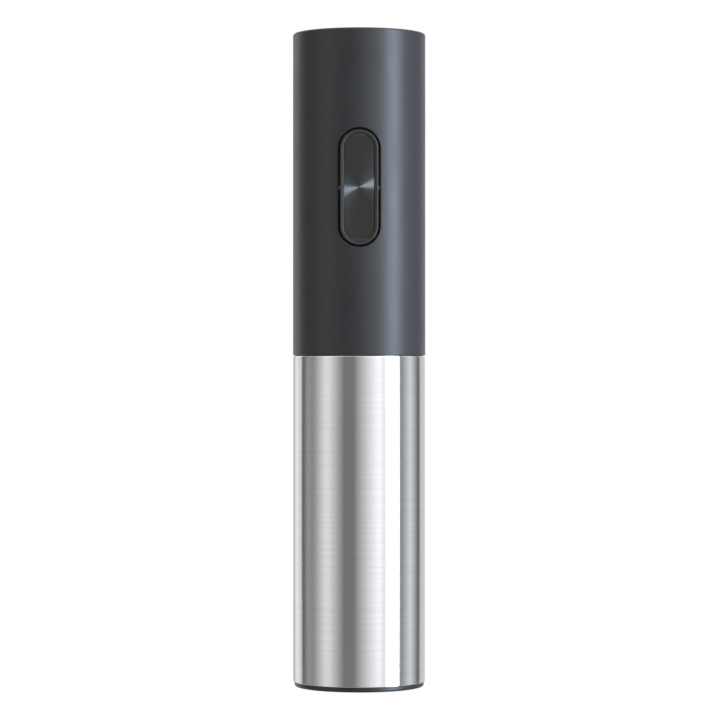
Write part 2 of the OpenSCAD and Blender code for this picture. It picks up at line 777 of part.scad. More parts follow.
module motor_magnets() {
    color("#3b3c40") for (a = [20, 200]) rotate([0, 0, a]) translate([0, 0, stack_z - 1.5])
        rotate_extrude(angle = 140) translate([can_in_r - magnet_t, 0])
            square([magnet_t, stack_top_z - stack_z + 3]);
}

// A carbon brush and its terminal tab on each side of the commutator
module motor_brushes() {
    color("#b87345") for (a = [0, 180]) rotate([0, 0, a]) union() {
        box([commutator_r + run_gap, -1.4, brush_z], [tab_x + 0.1, 1.4, brush_z + 2.6]);
        box([tab_x, -1.2, brush_z], [tab_x + tab_t, 1.2, tab_top_z]);
    }
}

module motor_screws() {
    color("#8f9296") orbit(motor_screw_x, [0, 180], plate_z + 0.9) mirror([0, 0, 1])
        screw(0.75, 1.8, 1.5, 0.9);
}

module motor_shaft() {
    color("#c4c7ca") disc(shaft_r, planet_1_z + 0.1, bell_top_z + 1.1 - planet_1_z);
}

// A three-pole laminated core with its windings
module motor_armature() {
    pole_r = armature_r - 1.4;
    color("#a8622f") difference() {
        union() {
            disc(3.4, stack_z, stack_top_z - stack_z);
            for (a = [30, 150, 270]) rotate([0, 0, a]) {
                box([2, -1.5, stack_z], [pole_r + 0.3, 1.5, stack_top_z]);
                rotate([0, 0, -48]) translate([0, 0, stack_z]) rotate_extrude(angle = 96)
                    translate([pole_r, 0]) square([armature_r - pole_r, stack_top_z - stack_z]);
                box([3.2, -3.4, stack_z - 1.2], [pole_r - 1, 3.4, stack_top_z + 1.2]);
            }
        }
        disc(shaft_r, stack_z - 2, stack_top_z - stack_z + 4);
    }
}

module motor_commutator() {
    color("#c08552") ring(commutator_r, shaft_r, brush_z - 1, 4.6);
}

module sun_gear() {
    color("#c2b280") difference() {
        translate([0, 0, planet_1_z + 0.1]) gear(sun_teeth, stage_1_w, tooth_play);
        disc(shaft_r, planet_1_z - 1, stage_1_w + 2);
    }
}

// ---- Gearbox -----------------------------------------------------------------------------

module motor_plate() {
    color("#9da1a5") difference() {
        disc(case_r, plate_z, plate_t);
        disc(motor_boss_r, plate_z - 1, plate_t + 2);
        orbit(motor_screw_x, [0, 180], plate_z - 1) cylinder(r = 0.75, h = plate_t + 2);
        orbit(motor_screw_x, [0, 180], plate_z - 1) cylinder(r = 1.5, h = 1.9);
        orbit(case_screw_orbit, [45:90:315], plate_z - 1) cylinder(r = case_screw_r, h = plate_t + 2);
    }
}

module gear_case() {
    color("#d8d5cb") difference() {
        disc(case_r, case_z, plate_z - case_z);
        translate([0, 0, case_z - 1]) linear_extrude(plate_z - case_z + 2)
            polygon(gear_outline(ring_teeth, ring_root_r, ring_tip_r, -tooth_play));
        orbit(case_screw_orbit, [45:90:315], case_z - 1) cylinder(r = case_screw_r + seat_gap, h = plate_z);
    }
}

module gearbox_screws() {
    color("#8f9296") orbit(case_screw_orbit, [45:90:315], cover_z + 1.4) mirror([0, 0, 1])
        screw(case_screw_r, plate_z + plate_t - cover_z - 1.4, 1.6, 1.4);
}

module gearbox_cover() {
    color("#9da1a5") difference() {
        disc(case_r, cover_z, cover_t);
        disc(bush_out_r, cover_z - 1, cover_t + 2);
        disc(bush_out_r + 1.4, cover_z - 1, 1.8);
        orbit(case_screw_orbit, [45:90:315], cover_z - 1) {
            cylinder(r = case_screw_r + seat_gap, h = cover_t + 2);
            cylinder(r = 1.6, h = 2.4);
        }
        orbit(cover_screw_orbit, [90, 210, 330], cover_z - 1) cylinder(r = 1, h = 4.9);
    }
}

module output_bush() {
    color("#b08d4f") union() {
        ring(bush_out_r, bush_r, cover_z, cover_t);
        ring(bush_out_r + 1.4, bush_r, cover_z, 0.8);
    }
}

module thrust_washer() {
    color("#e8e6df") ring(9, bush_r + 0.2, case_z, washer_t);
}

// Plate and pins that carry three planets
module carrier_body(z, thick, planet_z, planet_w) {
    disc(carrier_r, z, thick);
    orbit(orbit_r, [0, 120, 240], z + thick - 0.2) cylinder(r = pin_boss_r, h = planet_z - z - thick + 0.1);
    orbit(orbit_r, [0, 120, 240], z + thick - 0.2)
        cylinder(r = pin_r, h = planet_z + planet_w - z - thick + 0.4);
}

module carrier_with_sun(z, planet_z, planet_w, sun_z) {
    carrier_body(z, carrier_t, planet_z, planet_w);
    translate([0, 0, sun_z]) gear(sun_teeth, z - sun_z + 0.2, tooth_play);
}

module carrier_1() { color("#c7c9cc") carrier_with_sun(carrier_1_z, planet_1_z, stage_1_w, planet_2_z + 0.1); }
module carrier_2() { color("#c7c9cc") carrier_with_sun(carrier_2_z, planet_2_z, stage_2_w, planet_3_z + 0.1); }

module drive_flats(w, r, z, h) {
    intersection() {
        disc(r, z, h);
        box([-w / 2, -r, z], [w / 2, r, z + h]);
    }
}

module carrier_3() {
    color("#b5b8bb") difference() {
        carrier_body(carrier_3_z, carrier_3_t, planet_3_z, stage_3_w);
        drive_flats(drive_w, journal_r - 0.2, carrier_3_z - 1, carrier_3_t + 2);
    }
}

module planet(stage, a) {
    z = [planet_1_z, planet_2_z, planet_3_z][stage - 1];
    w = [stage_1_w, stage_2_w, stage_3_w][stage - 1];
    color(stage == 1 ? "#e9e4d2" : "#c2b280") difference() {
        rotate([0, 0, a]) translate([orbit_r, 0, z]) gear(planet_teeth, w, tooth_play);
        rotate([0, 0, a]) translate([orbit_r, 0, z - 1]) cylinder(r = pin_r + run_gap, h = w + 2);
    }
}

module planet_1a() { planet(1, 0); }
module planet_1b() { planet(1, 120); }
module planet_1c() { planet(1, 240); }
module planet_2a() { planet(2, 0); }
module planet_2b() { planet(2, 120); }
module planet_2c() { planet(2, 240); }
module planet_3a() { planet(3, 0); }
module planet_3b() { planet(3, 120); }
module planet_3c() { planet(3, 240); }

// ---- Spindle, worm and cork guide --------------------------------------------------------

module spindle() {
    flat_z = carrier_3_z;
    clip_z = carrier_3_z + carrier_3_t;
    color("#aeb2b6") difference() {
        union() {
            disc(collar_r, collar_z, collar_len);
            disc(journal_r, collar_z + 1, flat_z - collar_z - 1);
            drive_flats(drive_w, journal_r - 0.2, flat_z - 0.1, spindle_top_z - flat_z + 0.1);
        }
        disc(wire_r, collar_z - 1, shank_len + 1);
        ring(journal_r + 1, clip_in_r, clip_z, clip_t);
    }
}

module spindle_clip() {
    clip_z = carrier_3_z + carrier_3_t;
    color("#6b6e72") difference() {
        ring(clip_in_r + 2.4, clip_in_r, clip_z, clip_t);
        box([-1.3, 0, clip_z - 1], [1.3, 8, clip_z + 2]);
    }
}

module worm() {
    shank_top_z = collar_z + shank_len;
    step = worm_pitch / rings_per_turn;
    coil_zs = [for (z = [tip_z:step:coil_top_z + bend_h]) z];
    zs = concat(coil_zs, [coil_top_z + bend_h + 0.3, shank_top_z]);
    path = [for (z = zs) let(a = worm_angle(z), r = coil_r * coil_share(z)) [r * cos(a), r * sin(a), z]];
    radii = [for (z = zs) wire_r * min(1, 0.12 + 0.88 * (z - tip_z) / (tip_turns * worm_pitch))];
    across = [for (z = zs) let(a = worm_angle(min(z, coil_top_z + bend_h))) [cos(a), sin(a), 0]];
    color("#d5d7da") tube_along(path, radii, wire_sides, across);
}

// Slice of the worm at one height, with clearance: the hole that the guide rides on
function worm_slice(clear, steps = 7) =
    let(
        rise = atan(worm_pitch / (2 * PI * coil_r)),
        a = wire_r + clear,
        reach = a / sin(rise) / coil_r * 180 / PI,
        half = function (t) sqrt(max(0, a * a * (1 - pow(t / reach, 2)))))
    concat(
        [for (i = [-steps:steps])
            let(t = reach * sin(90 * i / steps)) (coil_r + half(t)) * [cos(t), sin(t)]],
        [for (i = [steps - 1:-1:1 - steps])
            let(t = reach * sin(90 * i / steps)) (coil_r - half(t)) * [cos(t), sin(t)]]);

module cork_guide() {
    bevel = 1.5;
    over = 0.9;
    hole_h = guide_h + 2 * over;
    outline = [[0, guide_z], [disc_r - bevel, guide_z], [disc_r, guide_z + bevel],
        [disc_r, guide_z + guide_h], [0, guide_z + guide_h]];
    color("#e6e4dd") difference() {
        union() {
            rotate_extrude() polygon(outline);
            box([-wing_r, -wing_w / 2, guide_z + bevel], [wing_r, wing_w / 2, guide_z + guide_h]);
        }
        rotate([0, 0, worm_angle(guide_z - over)]) translate([0, 0, guide_z - over])
            linear_extrude(hole_h, twist = -360 * hole_h / worm_pitch, slices = 35)
                polygon(worm_slice(pass_gap));
    }
}

// ---- Lower body --------------------------------------------------------------------------

module chamber_cap() {
    color("#2b2d30") difference() {
        disc(cap_r, cap_z, cap_t);
        disc(max(collar_r, worm_d / 2) + 1.2, cap_z - 1, cap_t + 2);
        orbit(guide_screw_orbit, [45:90:315], cap_z - 1) cylinder(r = screw_r, h = cap_t + 2);
        orbit(guide_screw_orbit, [45:90:315], cap_z + cap_t - 1.4) cylinder(r = screw_head_r, h = 2);
        orbit(cover_screw_orbit, [90, 210, 330], cap_z - 1) {
            cylinder(r = 1, h = cap_t + 2);
            cylinder(r = 1.9, h = 2.4);
        }
    }
}

module cap_screws() {
    color("#8f9296") {
        orbit(guide_screw_orbit, [45:90:315], cap_z + cap_t - 1.4) screw(screw_r, 9.4, screw_head_r, 1.3);
        orbit(cover_screw_orbit, [90, 210, 330], cap_z + 1.4) mirror([0, 0, 1]) screw(1, 7.2, 1.9, 1.4);
    }
}

module neck_guide() {
    tip_bevel = 1;
    bevel_h = 2;
    bore_top_z = base_h + mouth_bore_h;
    rib = [[relief_r + 0.6, shoulder_z], [cork_r + tip_bevel, shoulder_z], [cork_r, shoulder_z + bevel_h],
        [cork_r, rib_top_z - bevel_h], [cork_r + tip_bevel, rib_top_z], [relief_r + 0.6, rib_top_z]];
    color("#303235") difference() {
        union() {
            difference() {
                union() {
                    disc(tube_r, base_h, flange_t);
                    disc(guide_wall_r, base_h, cap_z - base_h);
                    disc(frame_low_r, cap_z - 3, 3);
                }
                disc(mouth_bore_d / 2, base_h - 1, mouth_bore_h + 1);
                disc(relief_r, bore_top_z, cap_z);
            }
            for (k = [0:cork_ribs - 1]) rotate([0, 0, 360 * (k + 0.5) / cork_ribs])
                translate([0, rib_w / 2, 0]) rotate([90, 0, 0]) linear_extrude(rib_w) polygon(rib);
        }
        // Grooves for the cork guide's wings, open at the top
        box([-groove_r, -groove_w / 2, guide_z - 1], [groove_r, groove_w / 2, cap_z + 1]);
        orbit(guide_screw_orbit, [45:90:315], cap_z - 6) cylinder(r = screw_r, h = 7);
        orbit(guide_wall_r, [45:90:315], base_h - 1) cylinder(r = 1.2, h = 2.9);
    }
}

module lower_tube() {
    color("#2b2d30") ring(tube_r, tube_in_r, flange_z, seat_z - flange_z);
}

module lower_sleeve() {
    color("#c6c8c9") ring(sleeve_r, sleeve_r - sleeve_t, base_h, sleeve_h);
}

module base_ring() {
    edge_r = 0.8;
    lip_h = 0.5;
    outline = concat(
        [[lead_in_r, 0]],
        arc([base_r - edge_r, edge_r], edge_r, -90, 0, 5),
        [[base_r, base_h], [mouth_bore_d / 2 + 0.4, base_h], [mouth_bore_d / 2 + 0.4, base_h - lip_h]]);
    color("#1b1c1e") union() {
        rotate_extrude() polygon(outline);
        orbit(guide_wall_r, [45:90:315], base_h - 0.2) cylinder(r = 1.2, h = 2);
    }
}

// ---- Drawing ---------------------------------------------------------------------------

upper_shell();
battery_lid();
lid_contacts();
cell_1();
cell_2();
cell_3();
cell_4();
battery_tray();
bridge_contact();
terminal_contacts();
tray_screws();
frame_front();
frame_rear();
frame_screws();
rocker();
rocker_inlay();
rocker_pin();
switch_bracket();
switch_board();
board_chips();
dome_mat();
battery_leads();
motor_leads();
motor_can();
motor_end_bell();
motor_magnets();
motor_brushes();
motor_screws();
motor_shaft();
motor_armature();
motor_commutator();
sun_gear();
motor_plate();
gear_case();
gearbox_screws();
gearbox_cover();
output_bush();
carrier_1();
carrier_2();
carrier_3();
thrust_washer();
planet_1a();
planet_1b();
planet_1c();
planet_2a();
planet_2b();
planet_2c();
planet_3a();
planet_3b();
planet_3c();
spindle();
spindle_clip();
worm();
cork_guide();
chamber_cap();
cap_screws();
neck_guide();
lower_tube();
lower_sleeve();
base_ring();
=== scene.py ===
import json
import math

import bmesh
import bpy
from mathutils import Matrix, Vector


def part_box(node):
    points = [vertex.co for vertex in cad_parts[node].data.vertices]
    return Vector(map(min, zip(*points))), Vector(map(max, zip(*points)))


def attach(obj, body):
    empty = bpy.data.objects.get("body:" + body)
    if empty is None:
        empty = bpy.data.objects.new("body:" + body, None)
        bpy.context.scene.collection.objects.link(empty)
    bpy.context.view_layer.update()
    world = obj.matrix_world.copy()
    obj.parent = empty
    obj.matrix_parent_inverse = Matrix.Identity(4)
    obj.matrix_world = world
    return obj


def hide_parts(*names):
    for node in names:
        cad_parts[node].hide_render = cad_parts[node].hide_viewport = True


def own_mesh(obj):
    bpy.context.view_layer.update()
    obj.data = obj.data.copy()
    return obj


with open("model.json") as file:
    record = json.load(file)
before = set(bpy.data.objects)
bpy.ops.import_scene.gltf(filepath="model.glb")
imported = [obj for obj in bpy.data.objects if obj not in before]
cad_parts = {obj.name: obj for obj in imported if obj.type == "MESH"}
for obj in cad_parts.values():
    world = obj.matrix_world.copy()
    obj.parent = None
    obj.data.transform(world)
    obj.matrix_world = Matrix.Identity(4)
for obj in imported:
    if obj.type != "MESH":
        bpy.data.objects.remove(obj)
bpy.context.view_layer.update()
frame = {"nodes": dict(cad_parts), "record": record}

MM = 0.001

# ---- Camera, table and studio ---------------------------------------------------------------
# A long lens looks straight at the rocker, level with the middle of the body. The opener stands
# on a white table in a white room, with soft light panels upright all round it.

body_low, body_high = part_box("upper_shell")
shell_r = (body_high.x - body_low.x) / 2
top_z = body_high.z
camera_data = bpy.data.cameras.new("camera")
camera_data.lens = 149.9
camera_data.sensor_width = 36.0
camera_data.clip_start = 0.01
camera = bpy.data.objects.new("camera", camera_data)
camera.location = (0.3 * MM, -1.100, 119.5 * MM)
camera.rotation_euler = (math.radians(90), 0, 0)
bpy.context.scene.collection.objects.link(camera)
bpy.context.scene.camera = camera
bpy.context.scene.view_settings.view_transform = "Standard"

# Each panel: the direction it stands in (degrees from the camera, + to the right), half its
# width, its soft edge and its brightness. A dark flag has a brightness below zero.
PANELS = {
    "left_sheet": (-59, 3, 29, 0.90),
    "left_glow": (-99, 2, 14, 0.20),
    "left_flag": (-115, 2, 4, -0.10),
    "right_sheet": (35.5, 2, 43, 1.38),
    "right_gap": (44.5, 0.5, 3, -0.26),
    "right_strip": (101, 1, 23, 0.80),
    "right_flag": (127, 4, 4, -0.06),
    "back_left_sheet": (-141, 4, 10, 0.22),
    "back_left_shade": (-176, 14, 16, -0.40),
}
BOX = (62.5, 9.5, 2.5, 9.8)
BOX_COLOUR = (0.80, 1.0, 1.20)
FRONT_LIGHT = 0.235
BACK_LEFT_LIGHT = 0.93
BACK_LEFT_FROM = -121
BACK_RIGHT_LIGHT = 0.80
BACK_RIGHT_FROM = 133
CEILING_LIGHT = 1.2
UNDER_LIGHT = 0.50
LEFT_COLOUR = (1.0, 1.0, 1.01)
RIGHT_COLOUR = (0.98, 0.99, 1.01)


def mapped(tree, value, from_low, from_high, to_low, to_high):
    """A value carried from one range to another and held at its ends."""
    made = tree.nodes.new("ShaderNodeMapRange")
    tree.links.new(value, made.inputs["Value"])
    made.inputs["From Min"].default_value = from_low
    made.inputs["From Max"].default_value = from_high
    made.inputs["To Min"].default_value = to_low
    made.inputs["To Max"].default_value = to_high
    return made.outputs["Result"]


def sums(tree, operation, *values):
    """A Math node on numbers and on other nodes' outputs."""
    made = tree.nodes.new("ShaderNodeMath")
    made.operation = operation
    for socket, value in zip(made.inputs, values):
        if isinstance(value, (int, float)):
            socket.default_value = value
        else:
            tree.links.new(value, socket)
    return made.outputs[0]


world = bpy.data.worlds.new("studio")
bpy.context.scene.world = world
world.use_nodes = True
room = world.node_tree
room.nodes.clear()
looking = room.nodes.new("ShaderNodeTexCoord")
axes = room.nodes.new("ShaderNodeSeparateXYZ")
room.links.new(looking.outputs["Generated"], axes.inputs[0])
toward_camera = sums(room, "MULTIPLY", axes.outputs["Y"], -1.0)
direction = sums(room, "DEGREES", sums(room, "ARCTAN2", axes.outputs["X"], toward_camera))
light = mapped(room, direction, BACK_LEFT_FROM - 1, BACK_LEFT_FROM + 1, BACK_LEFT_LIGHT, FRONT_LIGHT)
back_right = mapped(room, direction, BACK_RIGHT_FROM - 2, BACK_RIGHT_FROM + 2,
                    0, BACK_RIGHT_LIGHT - FRONT_LIGHT)
light = sums(room, "ADD", light, back_right)
for centre, half, soft, level in PANELS.values():
    away = sums(room, "ABSOLUTE", sums(room, "SUBTRACT", direction, float(centre)))
    light = sums(room, "ADD", light, mapped(room, away, half, half + soft, level, 0))
overhead = mapped(room, axes.outputs["Z"], 0.45, 0.95, 0, 1)
underneath = mapped(room, axes.outputs["Z"], -0.35, -0.75, 0, 1)
blend = room.nodes.new("ShaderNodeMix")
room.links.new(overhead, blend.inputs["Factor"])
room.links.new(light, blend.inputs["A"])
blend.inputs["B"].default_value = CEILING_LIGHT
low_blend = room.nodes.new("ShaderNodeMix")
room.links.new(underneath, low_blend.inputs["Factor"])
room.links.new(blend.outputs["Result"], low_blend.inputs["A"])
low_blend.inputs["B"].default_value = UNDER_LIGHT
side_colour = room.nodes.new("ShaderNodeMix")
side_colour.data_type = "RGBA"
room.links.new(mapped(room, direction, 5, 40, 0, 1), side_colour.inputs["Factor"])
side_colour.inputs["A"].default_value = (*LEFT_COLOUR, 1)
side_colour.inputs["B"].default_value = (*RIGHT_COLOUR, 1)
panels = room.nodes.new("ShaderNodeBackground")
room.links.new(side_colour.outputs["Result"], panels.inputs["Color"])
room.links.new(low_blend.outputs["Result"], panels.inputs["Strength"])
centre, half, soft, level = BOX
away = sums(room, "ABSOLUTE", sums(room, "SUBTRACT", direction, centre))
level_rays = sums(room, "SUBTRACT", 1.0, sums(room, "MAXIMUM", overhead, underneath))
box_light = sums(room, "MULTIPLY", mapped(room, away, half, half + soft, level, 0), level_rays)
box = room.nodes.new("ShaderNodeBackground")
box.inputs["Color"].default_value = (*BOX_COLOUR, 1)
room.links.new(box_light, box.inputs["Strength"])
lamps = room.nodes.new("ShaderNodeAddShader")
room.links.new(panels.outputs[0], lamps.inputs[0])
room.links.new(box.outputs[0], lamps.inputs[1])
backdrop = room.nodes.new("ShaderNodeBackground")
backdrop.inputs["Color"].default_value = (1, 1, 1, 1)
ray = room.nodes.new("ShaderNodeLightPath")
choose = room.nodes.new("ShaderNodeMixShader")
room_out = room.nodes.new("ShaderNodeOutputWorld")
room.links.new(ray.outputs["Is Camera Ray"], choose.inputs["Fac"])
room.links.new(lamps.outputs[0], choose.inputs[1])
room.links.new(backdrop.outputs[0], choose.inputs[2])
room.links.new(choose.outputs[0], room_out.inputs["Surface"])

TABLE_R = 220 * MM
TABLE_TOP_Z = -0.05 * MM
table_bm = bmesh.new()
bmesh.ops.create_circle(table_bm, cap_ends=True, radius=TABLE_R, segments=64)
table_mesh = bpy.data.meshes.new("table")
table_bm.to_mesh(table_mesh)
table_bm.free()
table = bpy.data.objects.new("table", table_mesh)
table.location.z = TABLE_TOP_Z
bpy.context.scene.collection.objects.link(table)

# The paper on it is white to the eye, lights the opener softly from below and isn't mirrored in
# the steel. From underneath it is clear, so that the foot can be seen.
paper = bpy.data.materials.new("white_table")
paper.use_nodes = True
sheet = paper.node_tree
sheet.nodes["Principled BSDF"].inputs["Base Color"].default_value = (0.62, 0.62, 0.62, 1)
sheet.nodes["Principled BSDF"].inputs["Roughness"].default_value = 0.9
glow = sheet.nodes.new("ShaderNodeEmission")
glow.inputs["Color"].default_value = (1, 1, 1, 1)
sheet_ray = sheet.nodes.new("ShaderNodeLightPath")
sheet_mix = sheet.nodes.new("ShaderNodeMixShader")
sheet.links.new(sheet_ray.outputs["Is Camera Ray"], sheet_mix.inputs["Fac"])
clear = sheet.nodes.new("ShaderNodeBsdfTransparent")
mirror_mix = sheet.nodes.new("ShaderNodeMixShader")
sheet.links.new(sheet_ray.outputs["Is Glossy Ray"], mirror_mix.inputs["Fac"])
sheet.links.new(sheet.nodes["Principled BSDF"].outputs[0], mirror_mix.inputs[1])
sheet.links.new(clear.outputs[0], mirror_mix.inputs[2])
sheet.links.new(mirror_mix.outputs[0], sheet_mix.inputs[1])
sheet.links.new(glow.outputs[0], sheet_mix.inputs[2])
from_below = sheet.nodes.new("ShaderNodeNewGeometry")
below_mix = sheet.nodes.new("ShaderNodeMixShader")
sheet.links.new(from_below.outputs["Backfacing"], below_mix.inputs["Fac"])
sheet.links.new(sheet_mix.outputs[0], below_mix.inputs[1])
sheet.links.new(clear.outputs[0], below_mix.inputs[2])
sheet.links.new(below_mix.outputs[0], sheet.nodes["Material Output"].inputs["Surface"])
table_mesh.materials.append(paper)

# ---- Handle shell ---------------------------------------------------------------------------
# A moulded ABS tube with a soft-touch satin coat, charcoal grey. It is pushed down over the
# frame from above, and its front has a pill-shaped opening for the rocker.

AROUND = 256
SHELL_WALL = 2.0 * MM
TOP_ROUND = 0.8 * MM
SEAM_ROUND = 0.25 * MM
LID_SEAT_R = 20.6 * MM
LID_SEAT_Z = 236.75 * MM
LEDGE_R = 18.8 * MM
LEDGE = 1.5 * MM
rocker_low, rocker_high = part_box("rocker")
rocker_w = rocker_high.x - rocker_low.x
rocker_h = rocker_high.z - rocker_low.z
rocker_z = (rocker_high.z + rocker_low.z) / 2
ROCKER_GAP = 0.7 * MM
bodies = frame["record"]["behaviour"]["bodies"]
BODY_OF = {node: body for body, nodes in bodies.items() for node in nodes}
SLOT_OF = {part["node"]: part["material_slot"] for part in frame["record"]["subparts"]}


def corner(centre, radius, start, end, steps):
    """Points of a rounded corner in (radius, height), with angles in degrees."""
    angles = [math.radians(start + (end - start) * i / steps) for i in range(steps + 1)]
    return [(centre[0] + radius * math.cos(a), centre[1] + radius * math.sin(a)) for a in angles]


def turned(outline, around=AROUND, at=(0, 0, 0)):
    """A bmesh turned once round an upright axis from an outline of (radius, height) points."""
    bm = bmesh.new()
    points = [bm.verts.new((r, 0, z)) for r, z in outline]
    edges = [bm.edges.new(pair) for pair in zip(points, points[1:] + points[:1])]
    bmesh.ops.spin(bm, geom=points + edges, cent=(0, 0, 0), axis=(0, 0, 1),
                   angle=2 * math.pi, steps=around, use_merge=True)
    bmesh.ops.remove_doubles(bm, verts=bm.verts, dist=1e-7)
    bmesh.ops.recalc_face_normals(bm, faces=bm.faces)
    bmesh.ops.translate(bm, verts=bm.verts, vec=at)
    return bm


def joined(*parts):
    """One bmesh that holds all the closed shells of several."""
    whole = bmesh.new()
    for part in parts:
        mesh = bpy.data.meshes.new("part")
        part.to_mesh(mesh)
        part.free()
        whole.from_mesh(mesh)
        bpy.data.meshes.remove(mesh)
    return whole


def cut(bm, tool):
    """The first bmesh with the second cut out of it."""
    solids = []
    for source in (bm, tool):
        mesh = bpy.data.meshes.new("solid")
        source.to_mesh(mesh)
        source.free()
        solids.append(bpy.data.objects.new("solid", mesh))
        bpy.context.scene.collection.objects.link(solids[-1])
    boolean = solids[0].modifiers.new("cut", "BOOLEAN")
    boolean.operation = "DIFFERENCE"
    boolean.solver = "EXACT"
    boolean.object = solids[1]
    bpy.context.view_layer.update()
    result = bpy.data.meshes.new_from_object(solids[0].evaluated_get(bpy.context.evaluated_depsgraph_get()))
    out = bmesh.new()
    out.from_mesh(result)
    bpy.data.meshes.remove(result)
    for solid in solids:
        bpy.data.objects.remove(solid)
    return out


def piece(name, bm, node, *materials, angle=32):
    """Makes a finished piece that stands for a CAD node and rides on its body."""
    limit = math.radians(angle)
    for face in bm.faces:
        face.smooth = True
    for edge in bm.edges:
        edge.smooth = len(edge.link_faces) == 2 and edge.calc_face_angle(math.pi) < limit
    mesh = bpy.data.meshes.new(name)
    bm.to_mesh(mesh)
    bm.free()
    made = bpy.data.objects.new(name, mesh)
    bpy.context.scene.collection.objects.link(made)
    for material in materials:
        mesh.materials.append(material)
    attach(made, BODY_OF[node])
    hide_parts(node)
    return made


def pill_face(width, height, y, steps=96):
    """An upright pill-shaped face across Y, with its middle at the rocker's height."""
    bm = bmesh.new()
    bmesh.ops.create_circle(bm, cap_ends=True, radius=width / 2, segments=steps,
                            matrix=Matrix.Rotation(math.pi / steps, 4, "Z"))
    for vert in bm.verts:
        vert.co.y += math.copysign((height - width) / 2, vert.co.y)
    bmesh.ops.rotate(bm, verts=bm.verts, cent=(0, 0, 0), matrix=Matrix.Rotation(math.pi / 2, 3, "X"))
    bmesh.ops.translate(bm, verts=bm.verts, vec=(0, y, rocker_z))
    return bm


def pushed(bm, face, y, widen=0.0, straight=0.0, follow=None):
    """Draws a pill face on to a depth (or to one that follows a round) and widens its outline."""
    grown = bmesh.ops.extrude_discrete_faces(bm, faces=[face])["faces"][0]
    for vert in grown.verts:
        middle = Vector((0, vert.co.y, rocker_z + math.copysign(straight / 2, vert.co.z - rocker_z)))
        vert.co += (vert.co - middle).normalized() * widen
    for vert in grown.verts:
        vert.co.y = y if follow is None else -math.sqrt(follow ** 2 - vert.co.x ** 2) + y
    return grown


slot_w = rocker_w + 2 * ROCKER_GAP
slot_h = rocker_h + 2 * ROCKER_GAP
straight = slot_h - slot_w
SLOT_BREAK = 0.22 * MM
slot_tool = pill_face(slot_w, slot_h, -14 * MM)
slot_back = slot_tool.faces[:][0].copy()
front = pushed(slot_tool, next(f for f in slot_tool.faces if f != slot_back), SLOT_BREAK,
               straight=straight, follow=shell_r)
front = pushed(slot_tool, front, 0.07 * MM, widen=0.06 * MM, straight=straight, follow=shell_r)
front = pushed(slot_tool, front, -0.02 * MM, widen=0.17 * MM, straight=straight, follow=shell_r)
front = pushed(slot_tool, front, -3 * MM, widen=0.02 * MM, straight=straight, follow=shell_r)
bmesh.ops.remove_doubles(slot_tool, verts=slot_tool.verts, dist=1e-7)
bmesh.ops.recalc_face_normals(slot_tool, faces=slot_tool.faces)

# Level rings round the opening keep the wall's shading round right up to its edge
ring_count = 48
ring_step = (slot_h + 4 * MM) / ring_count
slot_rings = [(shell_r, rocker_z + (i - ring_count / 2) * ring_step) for i in range(ring_count + 1)]
shell_outline = [
    (shell_r - SHELL_WALL, body_low.z),
    *corner((shell_r - SEAM_ROUND, body_low.z + SEAM_ROUND), SEAM_ROUND, -90, 0, 4),
    *slot_rings,
    *corner((shell_r - TOP_ROUND, top_z - TOP_ROUND), TOP_ROUND, 0, 90, 10),
    (LID_SEAT_R + 0.15 * MM, top_z),
    (LID_SEAT_R, top_z - 0.15 * MM),
    (LID_SEAT_R, LID_SEAT_Z),
    (LEDGE_R, LID_SEAT_Z),
    (LEDGE_R, LID_SEAT_Z - LEDGE),
    (shell_r - SHELL_WALL, LID_SEAT_Z - LEDGE),
]

# The grain of moulded and coated plastic: a fine height and slow patches of tone
fine_grain = bpy.data.node_groups.new("fine_grain", "ShaderNodeTree")
fine_grain.interface.new_socket(name="Place", in_out="INPUT", socket_type="NodeSocketVector")
fine_grain.interface.new_socket(name="Fineness", in_out="INPUT", socket_type="NodeSocketFloat")
fine_grain.interface.new_socket(name="Height", in_out="OUTPUT", socket_type="NodeSocketFloat")
fine_grain.interface.new_socket(name="Patches", in_out="OUTPUT", socket_type="NodeSocketFloat")
grain_in = fine_grain.nodes.new("NodeGroupInput")
grain_out = fine_grain.nodes.new("NodeGroupOutput")
grain = fine_grain.nodes.new("ShaderNodeTexNoise")
grain.inputs["Detail"].default_value = 3.0
fine_grain.links.new(grain_in.outputs["Place"], grain.inputs["Vector"])
fine_grain.links.new(grain_in.outputs["Fineness"], grain.inputs["Scale"])
fine_grain.links.new(grain.outputs[0], grain_out.inputs["Height"])
patches = fine_grain.nodes.new("ShaderNodeTexNoise")
patches.inputs["Scale"].default_value = 60.0
fine_grain.links.new(grain_in.outputs["Place"], patches.inputs["Vector"])
fine_grain.links.new(patches.outputs[0], grain_out.inputs["Patches"])


def finish(name, colour, roughness, metallic=0.0, **constants):
    """A new material, its node tree and its Principled shader with the plain numbers set."""
    material = bpy.data.materials.new(name)
    material.use_nodes = True
    tree = material.node_tree
    shader = tree.nodes["Principled BSDF"]
    shader.inputs["Base Color"].default_value = (*colour, 1)
    shader.inputs["Roughness"].default_value = roughness
    shader.inputs["Metallic"].default_value = metallic
    for key, value in constants.items():
        shader.inputs[key.replace("_", " ")].default_value = value
    return material, tree, shader


def on_piece(tree):
    """Where a point lies on its piece, in the piece's own coordinates."""
    return tree.nodes.new("ShaderNodeTexCoord").outputs["Object"]


def shaded(colour, amount):
    """A colour made lighter or darker."""
    return tuple(channel * amount for channel in colour)


def between(tree, factor, first, second):
    """A colour that goes from the first to the second; either may be another node's output."""
    made = tree.nodes.new("ShaderNodeMix")
    made.data_type = "RGBA"
    tree.links.new(factor, made.inputs["Factor"])
    for socket, colour in ((made.inputs["A"], first), (made.inputs["B"], second)):
        if isinstance(colour, tuple):
            socket.default_value = (*colour, 1)
        else:
            tree.links.new(colour, socket)
    return made.outputs["Result"]


